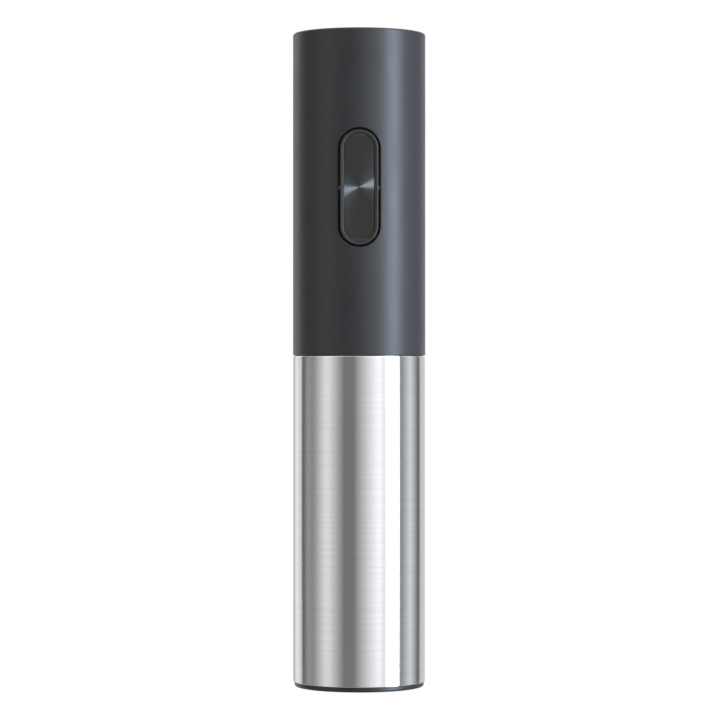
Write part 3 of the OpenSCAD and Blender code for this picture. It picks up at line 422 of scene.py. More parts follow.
def raised(tree, shader, height, distance):
    """Raises the surface by a pattern."""
    made = tree.nodes.new("ShaderNodeBump")
    made.inputs["Distance"].default_value = distance
    tree.links.new(height, made.inputs["Height"])
    tree.links.new(made.outputs["Normal"], shader.inputs["Normal"])


def moulded(name, colour, roughness, fineness=2600.0, depth=0.004 * MM, contrast=0.12, **constants):
    """Moulded or coated plastic, with fine grain and slow patches of tone and gloss."""
    material, tree, shader = finish(name, colour, roughness, **constants)
    texture = tree.nodes.new("ShaderNodeGroup")
    texture.node_tree = fine_grain
    texture.inputs["Fineness"].default_value = fineness
    tree.links.new(on_piece(tree), texture.inputs["Place"])
    patch = mapped(tree, texture.outputs["Patches"], 0.3, 0.7, 0, 1)
    tree.links.new(between(tree, patch, shaded(colour, 1 - contrast), shaded(colour, 1 + contrast)),
                   shader.inputs["Base Color"])
    tree.links.new(mapped(tree, patch, 0, 1, roughness * 0.94, roughness * 1.06),
                   shader.inputs["Roughness"])
    raised(tree, shader, texture.outputs["Height"], depth)
    return material


charcoal_coat = moulded("charcoal_coat", (0.019, 0.019, 0.020), 0.39, fineness=5200.0, depth=0.002 * MM,
                        contrast=0.05, Specular_IOR_Level=0.45, Specular_Tint=(1.0, 0.985, 0.97, 1))
piece("handle_shell", cut(turned(shell_outline), slot_tool), "upper_shell", charcoal_coat)

# ---- Battery lid ----------------------------------------------------------------------------
# A moulded satin cap whose plug pushes into the top of the shell. A thumbnail notch at the back
# lifts it for new cells, and two nickel strips under it join the cells in pairs.

LID_R = 20.4 * MM
LID_TOP_Z = 238.85 * MM
LID_ROUND = 0.3 * MM
PLUG_R = 18.6 * MM
PLUG_WALL = 1.6 * MM
PLUG_DEPTH = 1.8 * MM
NOTCH_R = 4.0 * MM
NOTCH_DEPTH = 0.9 * MM

PLUG_ROUND = 0.3 * MM
NOTCH_ROUND = 0.35 * MM

plug_round_z = LID_SEAT_Z - PLUG_DEPTH + PLUG_ROUND
lid_outline = [
    (0, LID_SEAT_Z),
    (PLUG_R - PLUG_WALL, LID_SEAT_Z),
    *corner((PLUG_R - PLUG_WALL + PLUG_ROUND, plug_round_z), PLUG_ROUND, 180, 270, 4),
    *corner((PLUG_R - PLUG_ROUND, plug_round_z), PLUG_ROUND, 270, 360, 4),
    (PLUG_R, LID_SEAT_Z),
    *corner((LID_R - 0.15 * MM, LID_SEAT_Z + 0.15 * MM), 0.15 * MM, -90, 0, 3),
    *corner((LID_R - LID_ROUND, LID_TOP_Z - LID_ROUND), LID_ROUND, 0, 90, 6),
    (0, LID_TOP_Z),
]
notch_outline = [
    (0, 0),
    *corner((NOTCH_R - NOTCH_ROUND, NOTCH_ROUND), NOTCH_ROUND, -90, 0, 5),
    (NOTCH_R, 0.75 * MM),
    (NOTCH_R + 0.3 * MM, 1.05 * MM),
    (NOTCH_R + 0.3 * MM, 3 * MM),
    (0, 3 * MM),
]
notch_tool = turned(notch_outline, around=96, at=(0, LID_R + 1.5 * MM, LID_TOP_Z - NOTCH_DEPTH))
lid_satin = moulded("lid_satin", (0.030, 0.031, 0.033), 0.46, fineness=3000.0, depth=0.004 * MM,
                    contrast=0.06)
piece("battery_lid_cap", cut(turned(lid_outline), notch_tool), "battery_lid", lid_satin)


def finished_copy(node, *materials, angle=32):
    """A merged and smoothly shaded copy of a CAD node, with its real finish."""
    source = frame["nodes"][node]
    bm = bmesh.new()
    bm.from_mesh(source.data)
    bmesh.ops.remove_doubles(bm, verts=bm.verts, dist=1e-6)
    return piece(node + "_finished", bm, node, *materials, angle=angle)


# Scratches and drawing lines of worked metal, along one direction
fine_lines = bpy.data.node_groups.new("fine_lines", "ShaderNodeTree")
fine_lines.interface.new_socket(name="Place", in_out="INPUT", socket_type="NodeSocketVector")
fine_lines.interface.new_socket(name="Stretch", in_out="INPUT", socket_type="NodeSocketVector")
fine_lines.interface.new_socket(name="Lines", in_out="OUTPUT", socket_type="NodeSocketFloat")
fine_lines.interface.new_socket(name="Streaks", in_out="OUTPUT", socket_type="NodeSocketFloat")
lines_in = fine_lines.nodes.new("NodeGroupInput")
lines_out = fine_lines.nodes.new("NodeGroupOutput")
stretched = fine_lines.nodes.new("ShaderNodeVectorMath")
stretched.operation = "MULTIPLY"
fine_lines.links.new(lines_in.outputs["Place"], stretched.inputs[0])
fine_lines.links.new(lines_in.outputs["Stretch"], stretched.inputs[1])
lines = fine_lines.nodes.new("ShaderNodeTexNoise")
lines.inputs["Scale"].default_value = 1.0
lines.inputs["Detail"].default_value = 4.0
fine_lines.links.new(stretched.outputs[0], lines.inputs["Vector"])
fine_lines.links.new(lines.outputs[0], lines_out.inputs["Lines"])
streaks = fine_lines.nodes.new("ShaderNodeTexNoise")
streaks.inputs["Scale"].default_value = 0.22
streaks.inputs["Detail"].default_value = 2.0
fine_lines.links.new(stretched.outputs[0], streaks.inputs["Vector"])
fine_lines.links.new(streaks.outputs[0], lines_out.inputs["Streaks"])


def worked_metal(name, colour, roughness, stretch=(300, 300, 300), contrast=0.06,
                 depth=0.0008 * MM, **constants):
    """Bare or plated metal, with drawing lines along the axis that is stretched least."""
    material, tree, shader = finish(name, colour, roughness, metallic=1.0, **constants)
    texture = tree.nodes.new("ShaderNodeGroup")
    texture.node_tree = fine_lines
    texture.inputs["Stretch"].default_value = stretch
    tree.links.new(on_piece(tree), texture.inputs["Place"])
    streak = mapped(tree, texture.outputs["Streaks"], 0.3, 0.7, 0, 1)
    tree.links.new(between(tree, streak, shaded(colour, 1 - contrast), shaded(colour, 1 + contrast)),
                   shader.inputs["Base Color"])
    tree.links.new(mapped(tree, texture.outputs["Lines"], 0.3, 0.7, roughness * 0.75, roughness * 1.25),
                   shader.inputs["Roughness"])
    raised(tree, shader, texture.outputs["Lines"], depth)
    return material


nickel_strip = worked_metal("nickel_strip", (0.68, 0.67, 0.63), 0.26, stretch=(2500, 150, 2500),
                            contrast=0.08)
finished_copy("lid_contacts", nickel_strip)

# ---- Rocker ---------------------------------------------------------------------------------
# A satin moulding with a raised rim, hollow behind. It tilts on a cross bar, and one of its two
# posts presses the dome under it. A dark spun plate is glued inside the rim.

FACE_Y = rocker_low.y
SKIN = 1.5 * MM
SKIRT_Y = FACE_Y + 3.5 * MM
SKIRT_WALL = 1.2 * MM
RIM = 1.35 * MM
RIM_ROUND = 0.32 * MM
PLATE_DEPTH = 0.6 * MM
FOOT_Y = FACE_Y + 4.65 * MM
PIVOT_Y = FACE_Y + 5.4 * MM
POST_Z = 14.0 * MM
POST_R = 1.6 * MM
BAR_R = 1.4 * MM
BAR_LENGTH = 12 * MM
WEB_THICK = 2 * MM
ROOT = 0.2 * MM
straight = rocker_h - rocker_w

rocker_bm = pill_face(rocker_w, rocker_h, SKIRT_Y)
back_rim = rocker_bm.faces[:][0].copy()
front = pushed(rocker_bm, next(f for f in rocker_bm.faces if f != back_rim), FACE_Y + RIM_ROUND,
               straight=straight)
for step in range(1, 7):
    turn = math.radians(15 * step)
    drop = RIM_ROUND * (math.cos(math.radians(15 * (step - 1))) - math.cos(turn))
    front = pushed(rocker_bm, front, FACE_Y + RIM_ROUND * (1 - math.sin(turn)), widen=-drop,
                   straight=straight)
front = pushed(rocker_bm, front, FACE_Y, widen=-(RIM - RIM_ROUND - 0.30 * MM), straight=straight)
front = pushed(rocker_bm, front, FACE_Y + 0.05 * MM, widen=-0.10 * MM, straight=straight)
front = pushed(rocker_bm, front, FACE_Y + 0.35 * MM, widen=-0.20 * MM, straight=straight)
front = pushed(rocker_bm, front, FACE_Y + PLATE_DEPTH, straight=straight)
inner = pushed(rocker_bm, back_rim, SKIRT_Y, widen=-SKIRT_WALL, straight=straight)
inner = pushed(rocker_bm, inner, FACE_Y + SKIN, straight=straight)
bmesh.ops.remove_doubles(rocker_bm, verts=rocker_bm.verts, dist=1e-7)
bmesh.ops.recalc_face_normals(rocker_bm, faces=rocker_bm.faces)

backing = bmesh.new()
reach = FOOT_Y - FACE_Y - SKIN + ROOT
for side in (-1, 1):
    post_middle = Matrix.Translation((0, FOOT_Y - reach / 2, rocker_z + side * POST_Z))
    bmesh.ops.create_cone(backing, cap_ends=True, segments=48, radius1=POST_R, radius2=POST_R,
                          depth=reach, matrix=post_middle @ Matrix.Rotation(math.pi / 2, 4, "X"))
web = PIVOT_Y - FACE_Y - SKIN + ROOT
bmesh.ops.create_cube(backing, size=1, matrix=Matrix.Translation((0, PIVOT_Y - web / 2, rocker_z))
                      @ Matrix.Diagonal((BAR_LENGTH, web, WEB_THICK, 1)))
bar_middle = Matrix.Translation((0, PIVOT_Y, rocker_z))
bmesh.ops.create_cone(backing, cap_ends=True, segments=48, radius1=BAR_R, radius2=BAR_R,
                      depth=BAR_LENGTH, matrix=bar_middle @ Matrix.Rotation(math.pi / 2, 4, "Y"))
rocker_satin = moulded("rocker_satin", (0.022, 0.021, 0.020), 0.36, fineness=3400.0, depth=0.002 * MM,
                       contrast=0.06, Specular_IOR_Level=0.44, Specular_Tint=(1.0, 0.94, 0.88, 1))
piece("rocker_moulding", joined(rocker_bm, backing), "rocker", rocker_satin)

# The plate: spun-finished aluminium, dark anodised, cropped straight across near its two ends,
# where small facets rise to the rim.
PLATE_GAP = 0.05 * MM
PLATE_FACE_Y = FACE_Y + 0.35 * MM
FACET_FROM = 0.95 * MM
FACET_RISE = 0.24 * MM
plate_w = rocker_w - 2 * RIM - 2 * PLATE_GAP
plate_h = rocker_h - 2 * RIM - 2 * PLATE_GAP
straight = plate_h - plate_w
plate_bm = pill_face(plate_w, plate_h, FACE_Y + PLATE_DEPTH)
plate_back = plate_bm.faces[:][0].copy()
front = pushed(plate_bm, next(f for f in plate_bm.faces if f != plate_back), PLATE_FACE_Y + 0.1 * MM,
               straight=straight)
front = pushed(plate_bm, front, PLATE_FACE_Y, widen=-0.12 * MM, straight=straight)
bmesh.ops.remove_doubles(plate_bm, verts=plate_bm.verts, dist=1e-7)
for side in (-1, 1):
    fold_z = rocker_z + side * (plate_h / 2 - FACET_FROM)
    bmesh.ops.bisect_plane(plate_bm, geom=plate_bm.verts[:] + plate_bm.edges[:] + plate_bm.faces[:],
                           plane_co=(0, 0, fold_z), plane_no=(0, 0, 1))
for vert in plate_bm.verts:
    beyond = abs(vert.co.z - rocker_z) - (plate_h / 2 - FACET_FROM)
    if beyond > 0 and vert.co.y < PLATE_FACE_Y + 0.2 * MM:
        vert.co.y -= FACET_RISE * beyond / FACET_FROM
bmesh.ops.recalc_face_normals(plate_bm, faces=plate_bm.faces)

spun_dark, tree, shader = finish("spun_dark_plate", (0.09, 0.09, 0.092), 0.43, metallic=1.0,
                                  Anisotropic=0.88, Anisotropic_Rotation=0.25 - 0.036)
centre = tree.nodes.new("ShaderNodeMapping")
centre.inputs["Location"].default_value = (0, 0, -rocker_z)
tree.links.new(on_piece(tree), centre.inputs["Vector"])
across = tree.nodes.new("ShaderNodeSeparateXYZ")
tree.links.new(centre.outputs[0], across.inputs[0])
around_x = sums(tree, "MULTIPLY", across.outputs["Z"], -1.0)
tangent = tree.nodes.new("ShaderNodeCombineXYZ")
tree.links.new(around_x, tangent.inputs["X"])
tree.links.new(across.outputs["X"], tangent.inputs["Z"])
tangent_unit = tree.nodes.new("ShaderNodeVectorMath")
tangent_unit.operation = "NORMALIZE"
tree.links.new(tangent.outputs[0], tangent_unit.inputs[0])
tree.links.new(tangent_unit.outputs[0], shader.inputs["Tangent"])
from_middle = tree.nodes.new("ShaderNodeVectorMath")
from_middle.operation = "LENGTH"
tree.links.new(centre.outputs[0], from_middle.inputs[0])
ring_place = tree.nodes.new("ShaderNodeCombineXYZ")
tree.links.new(from_middle.outputs["Value"], ring_place.inputs["X"])
rings = tree.nodes.new("ShaderNodeGroup")
rings.node_tree = fine_lines
rings.inputs["Stretch"].default_value = (5200, 1, 1)
tree.links.new(ring_place.outputs[0], rings.inputs["Place"])
ring_tone = mapped(tree, rings.outputs["Lines"], 0.3, 0.7, 0, 1)
ring_light = between(tree, ring_tone, (0.98, 0.98, 0.98), (1.02, 1.02, 1.02))
plate_tone = tree.nodes.new("ShaderNodeVectorMath")
plate_tone.operation = "MULTIPLY"
# Two painted highlight fans, a little off level, painted into the base colour to stand in for the spun
# lines' reflections: cool on the left and warm on the right
PLATE_TONE = (0.073, 0.0725, 0.0725)
FAN_HIGHLIGHT_COOL = (0.225, 0.247, 0.265)
FAN_HIGHLIGHT_WARM = (0.275, 0.265, 0.260)
FAN_FROM = 7
FAN_TO = 25
fan_tilt = math.radians(13)
along_fan = sums(tree, "ADD", sums(tree, "MULTIPLY", across.outputs["X"], math.cos(fan_tilt)),
                 sums(tree, "MULTIPLY", across.outputs["Z"], math.sin(fan_tilt)))
off_fan = sums(tree, "SUBTRACT", sums(tree, "MULTIPLY", across.outputs["Z"], math.cos(fan_tilt)),
               sums(tree, "MULTIPLY", across.outputs["X"], math.sin(fan_tilt)))
fan_angle = sums(tree, "DEGREES", sums(tree, "ARCTAN2", sums(tree, "ABSOLUTE", off_fan),
                                       sums(tree, "ABSOLUTE", along_fan)))
fan_highlight_mask = mapped(tree, fan_angle, FAN_FROM, FAN_TO, 1, 0)
fan_highlight_colour = between(tree, mapped(tree, across.outputs["X"], -1 * MM, 1 * MM, 0, 1), FAN_HIGHLIGHT_COOL, FAN_HIGHLIGHT_WARM)
tree.links.new(between(tree, fan_highlight_mask, PLATE_TONE, fan_highlight_colour), plate_tone.inputs[0])
tree.links.new(ring_light, plate_tone.inputs[1])
# Painted highlight: the end facets are painted up to a quarter lighter, standing in for the brighter
# reflection they catch
from_end = sums(tree, "SUBTRACT", sums(tree, "ABSOLUTE", across.outputs["Z"]), plate_h / 2 - FACET_FROM)
facet_highlight_mask = mapped(tree, from_end, -0.02 * MM, 0.04 * MM, 0, 1)
facet_highlight_tone = tree.nodes.new("ShaderNodeVectorMath")
facet_highlight_tone.operation = "SCALE"
tree.links.new(plate_tone.outputs[0], facet_highlight_tone.inputs[0])
tree.links.new(mapped(tree, facet_highlight_mask, 0, 1, 1.0, 1.25), facet_highlight_tone.inputs["Scale"])
tree.links.new(facet_highlight_tone.outputs[0], shader.inputs["Base Color"])
tree.links.new(mapped(tree, ring_tone, 0, 1, 0.41, 0.45), shader.inputs["Roughness"])
raised(tree, shader, rings.outputs["Lines"], 0.0002 * MM)
piece("rocker_plate", plate_bm, "rocker_inlay", spun_dark, angle=3)

# ---- Brushed sleeve -------------------------------------------------------------------------
# A stainless steel tube, 0.6 mm thick and brushed round the axis. It slides over the lower tube
# and sits between the foot and the handle, with both its cut edges broken.

SLEEVE_WALL = 0.6 * MM
EDGE_BREAK = 0.28 * MM
sleeve_low, sleeve_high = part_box("lower_sleeve")
sleeve_r = (sleeve_high.x - sleeve_low.x) / 2
sleeve_outline = [
    (sleeve_r - SLEEVE_WALL, sleeve_low.z),
    *corner((sleeve_r - EDGE_BREAK, sleeve_low.z + EDGE_BREAK), EDGE_BREAK, -90, 0, 4),
    *corner((sleeve_r - EDGE_BREAK, sleeve_high.z - EDGE_BREAK), EDGE_BREAK, 0, 90, 4),
    (sleeve_r - SLEEVE_WALL, sleeve_high.z),
]
brushed_steel, tree, shader = finish("brushed_steel", (0.62, 0.62, 0.625), 0.20, metallic=1.0,
                                     Anisotropic=1.0, Anisotropic_Rotation=0.25)
round_axis = tree.nodes.new("ShaderNodeTangent")
round_axis.direction_type = "RADIAL"
round_axis.axis = "Z"
tree.links.new(round_axis.outputs[0], shader.inputs["Tangent"])
brushing = tree.nodes.new("ShaderNodeGroup")
brushing.node_tree = fine_lines
brushing.inputs["Stretch"].default_value = (42, 42, 5200)
tree.links.new(on_piece(tree), brushing.inputs["Place"])
streak = mapped(tree, brushing.outputs["Streaks"], 0.3, 0.7, 0, 1)
scratch = mapped(tree, brushing.outputs["Lines"], 0.3, 0.7, 0, 1)
brush_tone = between(tree, streak, (0.601, 0.602, 0.609), (0.638, 0.639, 0.646))
# Painted highlight: the top 0.45 mm of the wall is painted a paler tone, standing in for the bright line of
# light along the broken cut edge
height = tree.nodes.new("ShaderNodeSeparateXYZ")
tree.links.new(on_piece(tree), height.inputs[0])
painted_edge_highlight = mapped(tree, height.outputs["Z"], sleeve_high.z - 0.45 * MM, sleeve_high.z - 0.20 * MM, 0, 1)
tree.links.new(between(tree, painted_edge_highlight, brush_tone, (0.94, 0.94, 0.95)), shader.inputs["Base Color"])
tree.links.new(mapped(tree, scratch, 0, 1, 0.18, 0.22), shader.inputs["Roughness"])
raised(tree, shader, brushing.outputs["Lines"], 0.0007 * MM)
piece("brushed_sleeve", turned(sleeve_outline), "lower_sleeve", brushed_steel)

# ---- Foot ring ------------------------------------------------------------------------------
# A black moulded ring that closes the lower end and stands on the table. It flares inside to
# lead the bottle's mouth in, and four pins press into the neck guide.

FOOT_ROUND = 0.8 * MM
foot_low, foot_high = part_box("base_ring")
foot_r = (foot_high.x - foot_low.x) / 2
FOOT_H = 1.8 * MM
FLARE_R = 18.85 * MM
FOOT_BORE_R = 16.15 * MM
foot_outline = [
    *corner((FLARE_R + 0.25 * MM, 0.25 * MM), 0.25 * MM, -115, -90, 3),
    *corner((foot_r - FOOT_ROUND, FOOT_ROUND), FOOT_ROUND, -90, 0, 10),
    (foot_r, FOOT_H),
    (FOOT_BORE_R, FOOT_H),
    (FOOT_BORE_R, FOOT_H - 0.35 * MM),
    (FOOT_BORE_R + 0.10 * MM, FOOT_H - 0.58 * MM),
]
PIN_R = 1.2 * MM
PIN_LENGTH = 2 * MM
PIN_ORBIT = 20 * MM
PIN_Z = 2.6 * MM
pins = bmesh.new()
for quarter in range(4):
    turn = Matrix.Rotation(math.radians(45 + 90 * quarter), 4, "Z")
    bmesh.ops.create_cone(pins, cap_ends=True, segments=32, radius1=PIN_R, radius2=PIN_R, depth=PIN_LENGTH,
                          matrix=turn @ Matrix.Translation((PIN_ORBIT, 0, PIN_Z)))
black_plastic = moulded("black_plastic", (0.014, 0.014, 0.015), 0.42, fineness=2400.0, depth=0.005 * MM,
                        contrast=0.10)
piece("foot_ring", joined(turned(foot_outline), pins), "base_ring", black_plastic)

# ---- Worm -----------------------------------------------------------------------------------
# Hardened steel wire, ground to a point, wound into an open coil and polished. Its upper end
# bends in to the axis and is pressed into the spindle.

WORM_TIP_Z = 28.3 * MM
WORM_PITCH = 9.0 * MM
COIL_R = 3.1 * MM
WIRE_R = 1.4 * MM
COIL_TOP_Z = 96.3 * MM
BEND = 4.5 * MM
SHANK_TOP_Z = 109.7 * MM
TAPER = 6.75 * MM
STEPS_PER_TURN = 40

worm_curve = bpy.data.curves.new("worm_wire", "CURVE")
worm_curve.dimensions = "3D"
worm_curve.bevel_depth = WIRE_R
worm_curve.bevel_resolution = 5
worm_curve.use_fill_caps = True
coil_steps = int((COIL_TOP_Z + BEND - WORM_TIP_Z) / WORM_PITCH * STEPS_PER_TURN)
heights = [WORM_TIP_Z + (COIL_TOP_Z + BEND - WORM_TIP_Z) * i / coil_steps for i in range(coil_steps + 1)]
heights += [COIL_TOP_Z + BEND + 0.3 * MM, SHANK_TOP_Z]
wire = worm_curve.splines.new("POLY")
wire.points.add(len(heights) - 1)
for point, z in zip(wire.points, heights):
    turn = 2 * math.pi * (z - WORM_TIP_Z) / WORM_PITCH
    share = 1.0
    if z > COIL_TOP_Z:
        share = 0.5 + 0.5 * math.cos(math.pi * min(1, (z - COIL_TOP_Z) / BEND))
    point.co = (COIL_R * share * math.cos(turn), COIL_R * share * math.sin(turn), z, 1)
    point.radius = min(1.0, 0.12 + 0.88 * (z - WORM_TIP_Z) / TAPER)
worm_wire = bpy.data.objects.new("worm_wire", worm_curve)
bpy.context.scene.collection.objects.link(worm_wire)
bpy.context.view_layer.update()
worm_mesh = bpy.data.meshes.new_from_object(worm_wire.evaluated_get(bpy.context.evaluated_depsgraph_get()))
worm_bm = bmesh.new()
worm_bm.from_mesh(worm_mesh)
bpy.data.objects.remove(worm_wire)
bpy.data.meshes.remove(worm_mesh)
bmesh.ops.remove_doubles(worm_bm, verts=worm_bm.verts, dist=1e-7)
bmesh.ops.recalc_face_normals(worm_bm, faces=worm_bm.faces)
polished_steel = worked_metal("polished_steel", (0.70, 0.71, 0.72), 0.14, stretch=(900, 900, 900),
                              contrast=0.04, depth=0.0003 * MM)
piece("worm_coil", worm_bm, "worm", polished_steel, angle=50)

# ---- Spindle --------------------------------------------------------------------------------
# A turned steel shaft with a collar that the worm is pressed into. It runs in a bronze bush and
# is held in the last gear stage by a spring clip.

turned_steel = worked_metal("turned_steel", (0.52, 0.53, 0.55), 0.27, stretch=(60, 60, 4200), contrast=0.08)
zinc_plate = worked_metal("zinc_plate", (0.43, 0.44, 0.46), 0.33, stretch=(700, 700, 700), contrast=0.10)
bronze = worked_metal("bronze", (0.46, 0.29, 0.13), 0.36, stretch=(900, 900, 900), contrast=0.12)
finished_copy("spindle", turned_steel)
finished_copy("spindle_clip", zinc_plate)
finished_copy("output_bush", bronze)
finished_copy("thrust_washer", bronze)

# ---- Cork guide -----------------------------------------------------------------------------
# A moulded acetal disc with two wings that run in grooves of the neck guide. The worm threads
# through its twisted hole, so the disc rises along it and stays square to the cork.

acetal = moulded("acetal", (0.80, 0.79, 0.74), 0.38, fineness=1800.0, depth=0.003 * MM, contrast=0.03,
                 Subsurface_Weight=0.08, Subsurface_Radius=(0.6 * MM, 0.5 * MM, 0.4 * MM))
finished_copy("cork_guide", acetal, angle=26)

# ---- Neck guide, chamber cap and lower tube -------------------------------------------------
# Glass-filled nylon mouldings, black and dark grey. The guide's bore takes the bottle's mouth
# and its ribs hold the cork; the cap closes the chamber, and the tube stiffens the sleeve.

grey_nylon = moulded("grey_nylon", (0.030, 0.032, 0.036), 0.50, fineness=1500.0, depth=0.008 * MM,
                     contrast=0.14)
finished_copy("neck_guide", black_plastic)
finished_copy("chamber_cap", grey_nylon)
finished_copy("cap_screws", zinc_plate)
finished_copy("lower_tube", grey_nylon)

# ---- Cells ----------------------------------------------------------------------------------
# Four AA cells in printed plastic jackets that carry no marks. A jacket is rolled in over both
# ends of its can, the button stands up in a paper ring, and the other end is plain steel.

CELL_R = 7.25 * MM
CELL_LEN = 50.5 * MM
BUTTON_R = 2.75 * MM
BUTTON_H = 1.0 * MM
JACKET_LIP = 1.0 * MM
cell_outline = [
    (0, 0),
    (4.9 * MM, 0),
    (5.1 * MM, 0.22 * MM),
    (CELL_R - JACKET_LIP, 0.22 * MM),
    (CELL_R - JACKET_LIP, 0.02 * MM),
    *corner((CELL_R - 0.55 * MM, 0.55 * MM), 0.55 * MM, -90, 0, 6),
    *corner((CELL_R - 0.55 * MM, CELL_LEN - BUTTON_H - 0.55 * MM), 0.55 * MM, 0, 90, 6),
    (CELL_R - JACKET_LIP, CELL_LEN - BUTTON_H - 0.02 * MM),
    (CELL_R - JACKET_LIP, CELL_LEN - BUTTON_H - 0.22 * MM),
    (BUTTON_R + 0.1 * MM, CELL_LEN - BUTTON_H - 0.22 * MM),
    *corner((BUTTON_R - 0.35 * MM, CELL_LEN - 0.35 * MM), 0.35 * MM, 0, 90, 5),
    (0, CELL_LEN),
]
cell_jacket, tree, shader = finish("cell_jacket", (0.06, 0.13, 0.08), 0.30, Coat_Weight=0.5,
                                   Coat_Roughness=0.12)
jacket_grain = tree.nodes.new("ShaderNodeGroup")
jacket_grain.node_tree = fine_grain
jacket_grain.inputs["Fineness"].default_value = 900.0
tree.links.new(on_piece(tree), jacket_grain.inputs["Place"])
tree.links.new(between(tree, jacket_grain.outputs["Patches"], (0.045, 0.115, 0.065), (0.075, 0.150, 0.095)),
               shader.inputs["Base Color"])
tree.links.new(mapped(tree, jacket_grain.outputs["Patches"], 0.3, 0.7, 0.26, 0.36),
               shader.inputs["Roughness"])
raised(tree, shader, jacket_grain.outputs["Height"], 0.003 * MM)
can_steel = worked_metal("can_steel", (0.62, 0.62, 0.60), 0.24, stretch=(1200, 1200, 1200), contrast=0.08)
for node in ("cell_1", "cell_2", "cell_3", "cell_4"):
    low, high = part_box(node)
    middle = (low + high) / 2
    cell_bm = turned(cell_outline, around=96)
    if node in ("cell_2", "cell_4"):
        bmesh.ops.rotate(cell_bm, verts=cell_bm.verts, cent=(0, 0, CELL_LEN / 2),
                         matrix=Matrix.Rotation(math.pi, 3, "X"))
    for face in cell_bm.faces:
        face.material_index = int(face.calc_center_median().xy.length < CELL_R - JACKET_LIP)
    bmesh.ops.translate(cell_bm, verts=cell_bm.verts, vec=(middle.x, middle.y, low.z))
    piece("battery_" + node, cell_bm, node, cell_jacket, can_steel)

# ---- Battery tray and contacts --------------------------------------------------------------
# A grey nylon tray of four round wells, screwed down on the frame. Nickel strips with wire
# springs lie in its floor, and their tabs reach down to the leads.

finished_copy("battery_tray", grey_nylon)
finished_copy("bridge_contact", nickel_strip)
finished_copy("terminal_contacts", nickel_strip)
finished_copy("tray_screws", zinc_plate)

# ---- Frame ----------------------------------------------------------------------------------
# Two nylon halves, front and rear, that clamp the gearbox and the motor. Four screws hold them
# together, and they stand inside both the handle shell and the lower tube.

finished_copy("frame_front", grey_nylon)
finished_copy("frame_rear", grey_nylon)
finished_copy("frame_screws", zinc_plate)

# ---- Switch ---------------------------------------------------------------------------------
# A moulded bracket carries the rocker's steel pin and a small circuit board. A silicone mat on
# the board has two domes, one for each direction of the motor.

finished_copy("switch_bracket", grey_nylon)
finished_copy("rocker_pin", turned_steel)
silicone = moulded("silicone", (0.58, 0.56, 0.51), 0.55, fineness=1200.0, depth=0.004 * MM, contrast=0.05,
                   Subsurface_Weight=0.1, Subsurface_Radius=(0.8 * MM, 0.6 * MM, 0.4 * MM))
dome_mat = finished_copy("dome_mat", silicone)
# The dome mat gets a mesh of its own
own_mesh(dome_mat)
chip_black = moulded("chip_black", (0.016, 0.016, 0.018), 0.48, fineness=4000.0, depth=0.003 * MM)
finished_copy("board_chips", chip_black)
board_green, tree, shader = finish("board_green", (0.02, 0.11, 0.05), 0.30, Coat_Weight=0.4,
                                   Coat_Roughness=0.15)
tracks = tree.nodes.new("ShaderNodeTexBrick")
tracks.inputs["Scale"].default_value = 260.0
tracks.inputs["Color1"].default_value = (0.016, 0.095, 0.042, 1)
tracks.inputs["Color2"].default_value = (0.022, 0.120, 0.055, 1)
tracks.inputs["Mortar"].default_value = (0.035, 0.165, 0.080, 1)
tracks.inputs["Mortar Size"].default_value = 0.03
track_place = tree.nodes.new("ShaderNodeMapping")
track_place.inputs["Rotation"].default_value = (math.pi / 2, 0, 0)
tree.links.new(on_piece(tree), track_place.inputs["Vector"])
tree.links.new(track_place.outputs[0], tracks.inputs["Vector"])
tree.links.new(tracks.outputs["Color"], shader.inputs["Base Color"])
tree.links.new(mapped(tree, tracks.outputs["Fac"], 0, 1, 0.34, 0.24), shader.inputs["Roughness"])
raised(tree, shader, tracks.outputs["Fac"], 0.02 * MM)
finished_copy("switch_board", board_green)

# ---- Leads ----------------------------------------------------------------------------------
# Stranded copper in PVC insulation: a red pair from the cells to the switch, and a black pair
# from the switch down to the motor's two tabs.

red_pvc = moulded("red_pvc", (0.36, 0.018, 0.016), 0.40, fineness=1200.0, depth=0.004 * MM, contrast=0.08)
black_pvc = moulded("black_pvc", (0.014, 0.014, 0.016), 0.40, fineness=1200.0, depth=0.004 * MM,
                    contrast=0.08)
finished_copy("battery_leads", red_pvc, angle=60)
finished_copy("motor_leads", black_pvc, angle=60)

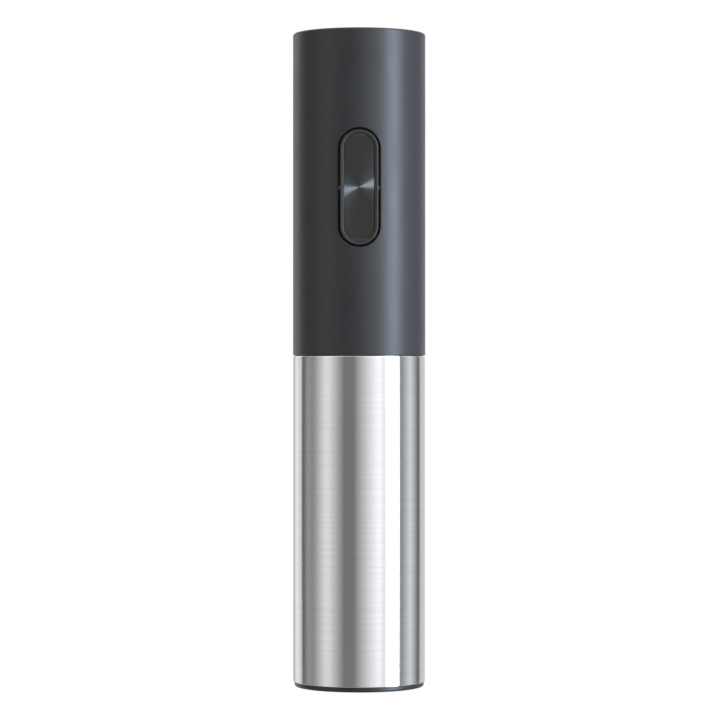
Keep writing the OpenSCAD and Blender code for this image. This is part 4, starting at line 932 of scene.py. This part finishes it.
# ---- Motor ----------------------------------------------------------------------------------
# A small direct-current motor: a drawn and plated steel can, two ferrite magnets, a wound
# three-pole armature on a steel shaft, a copper commutator, brushes and a moulded end bell.

plated_can = worked_metal("plated_can", (0.60, 0.60, 0.58), 0.28, stretch=(120, 120, 2400), contrast=0.06)
ferrite = moulded("ferrite", (0.035, 0.035, 0.038), 0.55, fineness=2000.0, depth=0.010 * MM, contrast=0.18)
bell_plastic = moulded("bell_plastic", (0.62, 0.60, 0.54), 0.45, fineness=1600.0, depth=0.004 * MM,
                       contrast=0.05)
copper_wire = worked_metal("copper_wire", (0.62, 0.26, 0.11), 0.30, stretch=(2600, 2600, 300), contrast=0.20,
                           depth=0.02 * MM)
finished_copy("motor_can", plated_can)
finished_copy("motor_end_bell", bell_plastic)
finished_copy("motor_magnets", ferrite)
finished_copy("motor_brushes", copper_wire)
finished_copy("motor_screws", zinc_plate)
finished_copy("motor_shaft", turned_steel)
finished_copy("motor_armature", copper_wire)
finished_copy("motor_commutator", copper_wire)

# ---- Gearbox --------------------------------------------------------------------------------
# Three planetary stages in one nylon case with a toothed wall. The first stage has nylon
# planets to run quietly; the others, the suns and the carriers are sintered or cut steel.

gear_nylon = moulded("gear_nylon", (0.74, 0.70, 0.58), 0.42, fineness=1600.0, depth=0.003 * MM,
                     contrast=0.04, Subsurface_Weight=0.06,
                     Subsurface_Radius=(0.5 * MM, 0.4 * MM, 0.3 * MM))
gear_steel = worked_metal("gear_steel", (0.42, 0.42, 0.43), 0.36, stretch=(1500, 1500, 1500), contrast=0.14,
                          depth=0.003 * MM)
BY_SLOT = {"gear_nylon": gear_nylon, "gear_metal": gear_steel, "turned_steel": turned_steel,
           "frame_plastic": grey_nylon, "black_plastic": black_plastic, "screw_steel": zinc_plate,
           "bright_steel": polished_steel, "bronze": bronze}
for node in ("motor_plate", "gear_case", "gearbox_screws", "gearbox_cover", "sun_gear",
             "carrier_1", "carrier_2", "carrier_3", "planet_1a", "planet_1b", "planet_1c",
             "planet_2a", "planet_2b", "planet_2c", "planet_3a", "planet_3b", "planet_3c"):
    finished_copy(node, BY_SLOT[SLOT_OF[node]])
